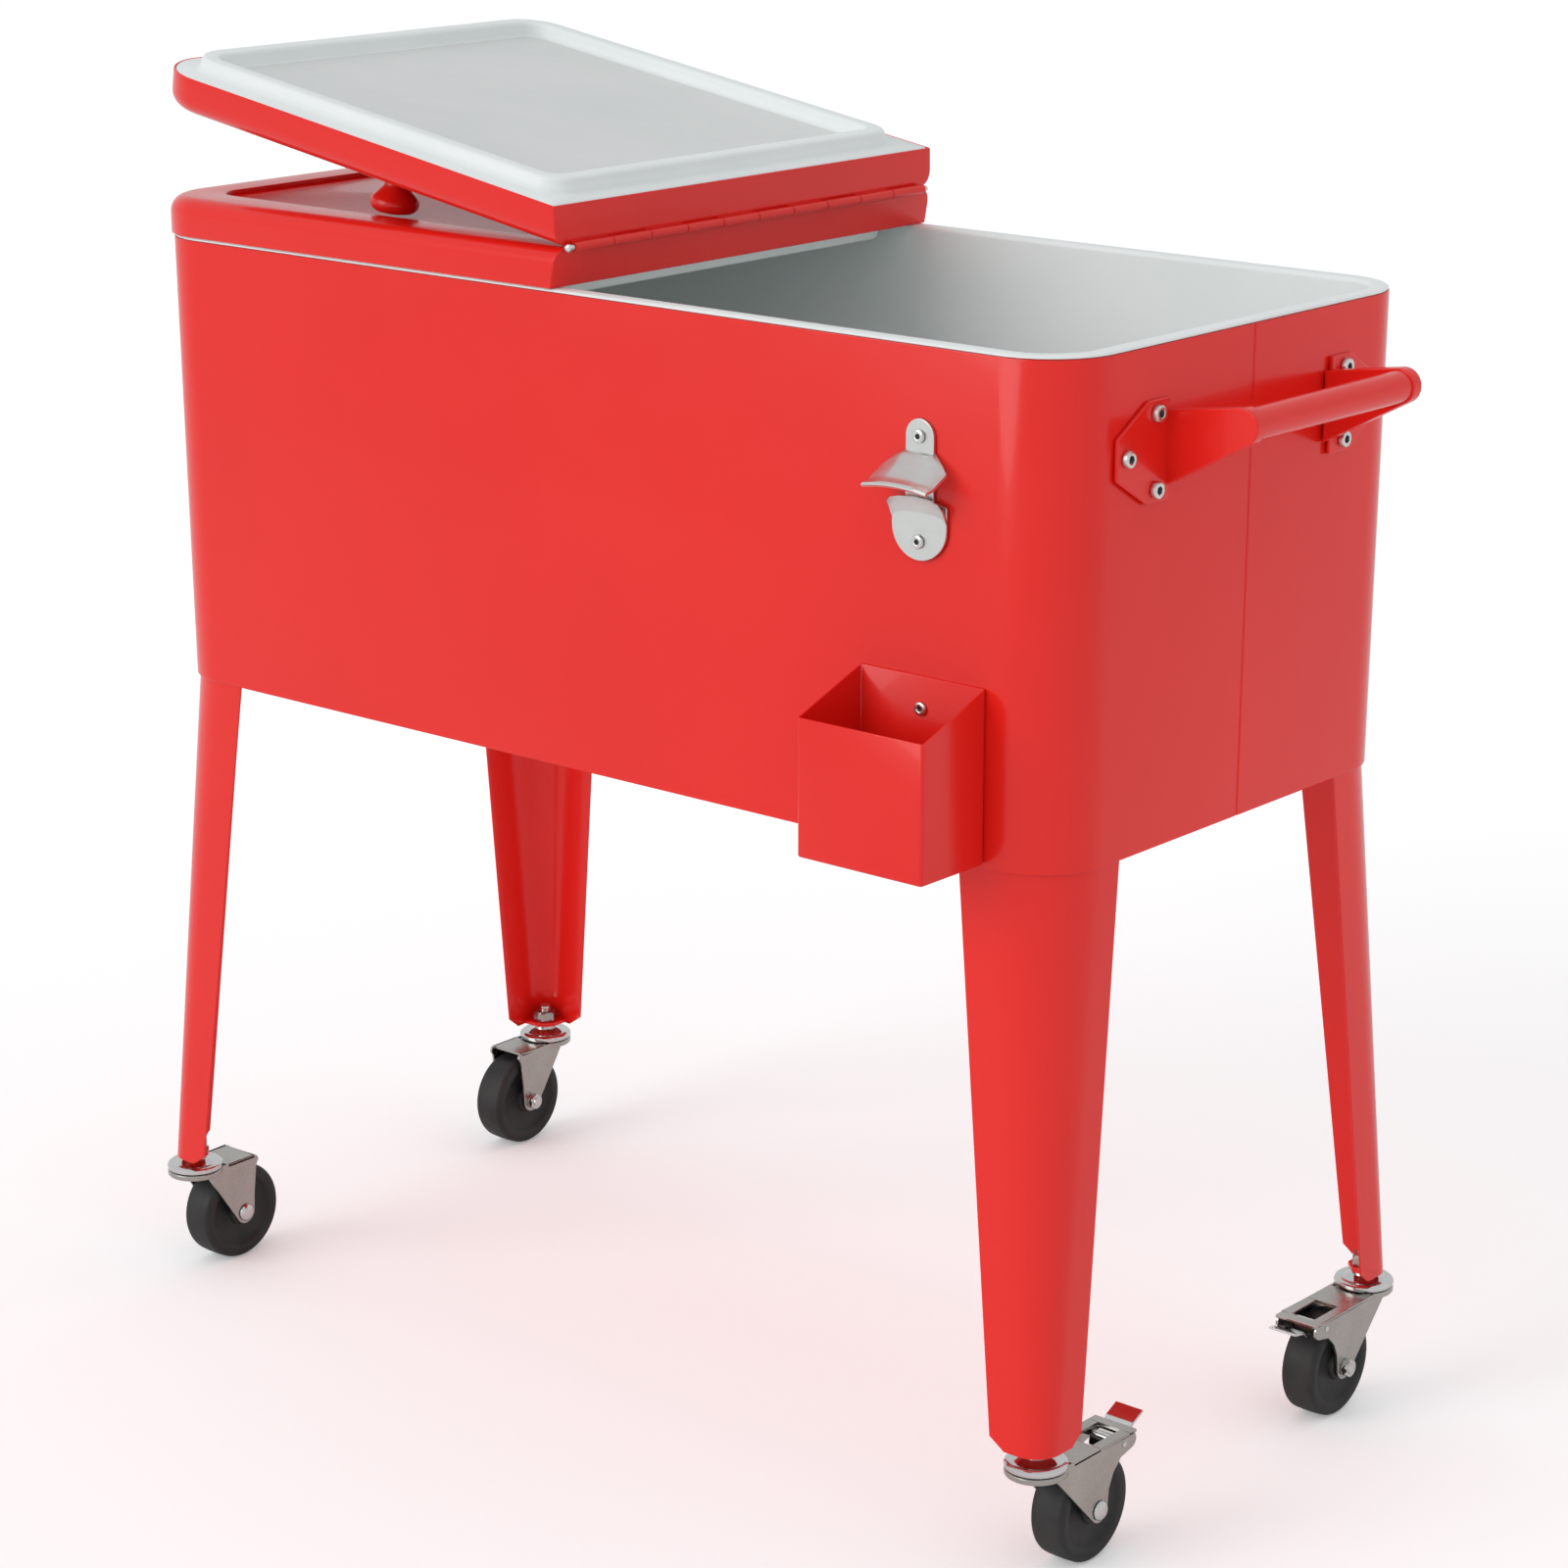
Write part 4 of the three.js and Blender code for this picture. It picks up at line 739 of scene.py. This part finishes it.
def add_bracket(end, side):
    """One cast bracket: a plate and an arm drawn in place of the CAD solid, with their edges rounded over."""
    sign = 1 if end == "right" else -1
    node = f"{end}_handle_bracket_{'front' if side < 0 else 'back'}"
    bar_low, bar_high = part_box(end + "_handle_bar")
    reach = abs(bar_low.x + bar_high.x) / 2
    bar_z = (bar_low.z + bar_high.z) / 2
    wall = min(abs(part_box(node)[0].x), abs(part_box(node)[1].x))
    centre = CENTRE_Y
    mid = bar_z - PLATE_BELOW_BAR
    outline = [(0.091, mid - 0.0325), (0.1136, mid - 0.0325), (0.1463, mid - 0.013)]
    outline += [(0.1463, mid + 0.013), (0.1136, mid + 0.0325), (0.091, mid + 0.0325)]
    shape = slab([(centre + side * y, z) for y, z in outline], sign * wall, sign * (wall + 0.003), "X")
    y0, y1 = sorted((centre + side * 0.0842, centre + side * 0.0938))
    arm = [(wall + 0.0015, mid - 0.0237)] + arc(reach, bar_z, 0.0119, -57, 97, 16) + [(wall + 0.0015, mid + 0.0237)]
    slab([(sign * x, z) for x, z in arm], y0, y1, "Y", shape)
    name = node.replace("bracket", "cheek")
    add_piece(name, shape, RED, "chest", node, bevel=0.0012, crease=30)


def add_handle(end):
    sign = 1 if end == "right" else -1
    for side in (-1, 1):
        add_bracket(end, side)
    low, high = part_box(end + "_handle_bar")
    half = (high.y - low.y) / 2 - 0.0044
    r = (high.z - low.z) / 2
    profile = [(r - 0.0004, -half), (r, -half + 0.0004), (r, half - 0.0004), (r - 0.0004, half)]
    middle = (low + high) / 2
    add_piece(end + "_grip_bar", along_y(turned(profile, 40)), RED, "chest", end + "_handle_bar", Matrix.Translation(middle))
    plate = min(abs(v.x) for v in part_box(end + "_handle_bracket_front")) + 0.0033
    mid = middle.z - PLATE_BELOW_BAR
    spots = [(s * y, rise) for s in (-1, 1) for y, rise in ((0.106, 0.024), (0.1365, 0.0), (0.106, -0.024))]
    for k, (y, rise) in enumerate(spots):
        place = Matrix.Translation((sign * plate, CENTRE_Y + y, mid + rise))
        place = place @ Matrix.Rotation(sign * pi / 2, 4, "Y") @ Matrix.Rotation(0.4 * k, 4, "Z")
        nodes = f"right_handle_screw_{k + 1}" if end == "right" else ()
        add_piece(f"{end}_cap_screw_{k + 1}", socket_screw(0.0055, 0.004, 0.0029), (SATIN, SOCKET), "chest", nodes, place)


# ------------------------------------------------------------------ bottle opener and cap bin
def add_opener():
    low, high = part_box("bottle_opener")
    x = (low.x + high.x) / 2
    wall = high.y
    r, wide = 0.011, 0.0215
    top = high.z
    shoulder = top - 0.0535
    outline = arc(x, low.z + wide, wide, 180, 360, 20) + [(x + wide, shoulder), (x + r, shoulder + 0.003)]
    outline += arc(x, top - r, r, 0, 180, 16) + [(x - r, shoulder + 0.003), (x - wide, shoulder)]
    shape = slab([(u, v) for u, v in outline], wall - 0.0025, wall, "Y")
    add_piece("opener_plate", shape, SATIN, "chest", "bottle_opener", bevel=0.0006, crease=30)
    add_piece("opener_hood", hood_sheet(x, wall, top - 0.0203), SATIN, "chest", bevel=0.0)
    tongue = [(-0.0215, 0.0), (-0.019, 0.0028), (-0.012, 0.0046), (0, 0.0054), (0.012, 0.0046), (0.019, 0.0028), (0.0215, 0.0)]
    rows = []
    base = shoulder
    for depth, drop in ((0.0012, -0.010), (0.0030, -0.006), (0.0046, -0.0025), (0.0066, 0.0)):
        front = [(x + u, wall - depth - 0.0014, base + drop + v * (1 if drop == 0 else 0.9)) for u, v in tongue]
        back = [(x + u, wall - depth + 0.0004, base + drop + v * (1 if drop == 0 else 0.9)) for u, v in reversed(tongue)]
        rows.append(front + back)
    add_piece("opener_tongue", loft(rows, start=True, end=True), SATIN, "chest", crease=50)
    for k in (1, 2):
        low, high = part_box(f"opener_screw_{k}")
        spot = Matrix.Translation((x, wall - 0.0028, (low.z + high.z) / 2))
        shape = along_y(socket_screw(0.0046, 0.0022, 0.0019))
        add_piece(f"opener_cap_screw_{k}", shape, (SATIN, SOCKET), "chest", f"opener_screw_{k}", spot)


def hood_sheet(x, wall, top):
    """The formed hood: it leaves the wall below the tab, slopes out and ends in an outward lip."""
    profile = [(0.0012, 0.0), (0.0035, -0.0004), (0.0058, -0.0017), (0.0078, -0.0036), (0.0115, -0.0066)]
    profile += [(0.0165, -0.0104), (0.0205, -0.0136), (0.0232, -0.0152), (0.0255, -0.0158), (0.0275, -0.0166), (0.0286, -0.0182)]
    half = 0.0252
    columns = 28
    outer, inner = [], []
    for k, (out, drop) in enumerate(profile):
        along = k / (len(profile) - 1)
        reach = half * min(1.0, 0.46 + 1.9 * along)
        for rows, depth in ((outer, 0.0), (inner, 0.0020)):
            row = []
            for i in range(columns + 1):
                u = reach * (2 * i / columns - 1)
                beside = max(0.0, abs(u) - 0.011)
                fall = 0.61 * beside * (1 - out / 0.029) + 0.0022 * (u / half) ** 2 * along
                y = wall - max(out - depth * 0.8, 0.0006)
                row.append((x + u, y, top + drop - fall - depth * 0.7))
            rows.append(row)
    shape = bmesh.new()
    grid = [[shape.verts.new(p) for p in row] for row in outer]
    back = [[shape.verts.new(p) for p in row] for row in inner]
    for a, b in zip(range(len(grid) - 1), range(1, len(grid))):
        for i in range(columns):
            shape.faces.new((grid[a][i], grid[a][i + 1], grid[b][i + 1], grid[b][i]))
            shape.faces.new((back[a][i + 1], back[a][i], back[b][i], back[b][i + 1]))
        shape.faces.new((grid[a][0], grid[b][0], back[b][0], back[a][0]))
        shape.faces.new((grid[b][-1], grid[a][-1], back[a][-1], back[b][-1]))
    for i in range(columns):
        shape.faces.new((grid[-1][i], grid[-1][i + 1], back[-1][i + 1], back[-1][i]))
        shape.faces.new((grid[0][i + 1], grid[0][i], back[0][i], back[0][i + 1]))
    return shape


def add_cap_bin():
    low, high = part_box("cap_catcher")
    t = 0.0012
    front_top = high.z - 0.023

    def ring(inset, z_low, raise_top):
        x0, x1, y0, y1 = low.x + inset, high.x - inset, low.y + inset, high.y - inset
        slope = (high.z - front_top) / (high.y - low.y)
        corners = rounded(x0, x1, (y1 - y0) / 2, max(0.0022 - inset, 0.0008), max(0.0022 - inset, 0.0008), 4)
        middle = (y0 + y1) / 2
        row = []
        for u, v in corners:
            y = v + middle
            row.append((u, y, front_top + slope * (y - low.y) + raise_top if z_low is None else z_low))
        return row

    rows = [ring(0.003, low.z, 0), ring(0.0008, low.z + 0.0003, 0), ring(0, low.z + 0.0012, 0), ring(0, None, -0.0004)]
    rows += [ring(0.0003, None, 0), ring(t - 0.0003, None, 0), ring(t, None, -0.0004), ring(t, low.z + 0.0022, 0), ring(t + 0.001, low.z + t, 0)]
    shape = loft(rows, start=True, end=True)
    add_piece("cap_bin", shape, RED, "chest", "cap_catcher")
    for k in (1, 2):
        a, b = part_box(f"catcher_screw_{k}")
        spot = Matrix.Translation(((a.x + b.x) / 2, high.y - t - 0.0003, (a.z + b.z) / 2))
        shape = along_y(socket_screw(0.0046, 0.0022, 0.0019))
        add_piece(f"bin_cap_screw_{k}", shape, (SATIN, SOCKET), "chest", f"catcher_screw_{k}", spot)


# ------------------------------------------------------------------ pieces that keep their CAD shape
def dress(node, material):
    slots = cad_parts[node].material_slots
    for entry in slots:
        entry.material = material


bpy.context.scene.view_settings.view_transform = "Standard"
add_camera()
add_world()
add_sun("key", 0.9, 40, (-0.3, -0.85, 0.42))
add_floor()
add_chest()
add_tub()
add_drain()
add_casters()
add_lids()
for end in ("right", "left"):
    add_handle(end)
add_opener()
add_cap_bin()
dress("bottom_panel", RED)
for node in ("insulation", "left_lid_foam", "right_lid_foam"):
    dress(node, FOAM)

bpy.context.view_layer.update()
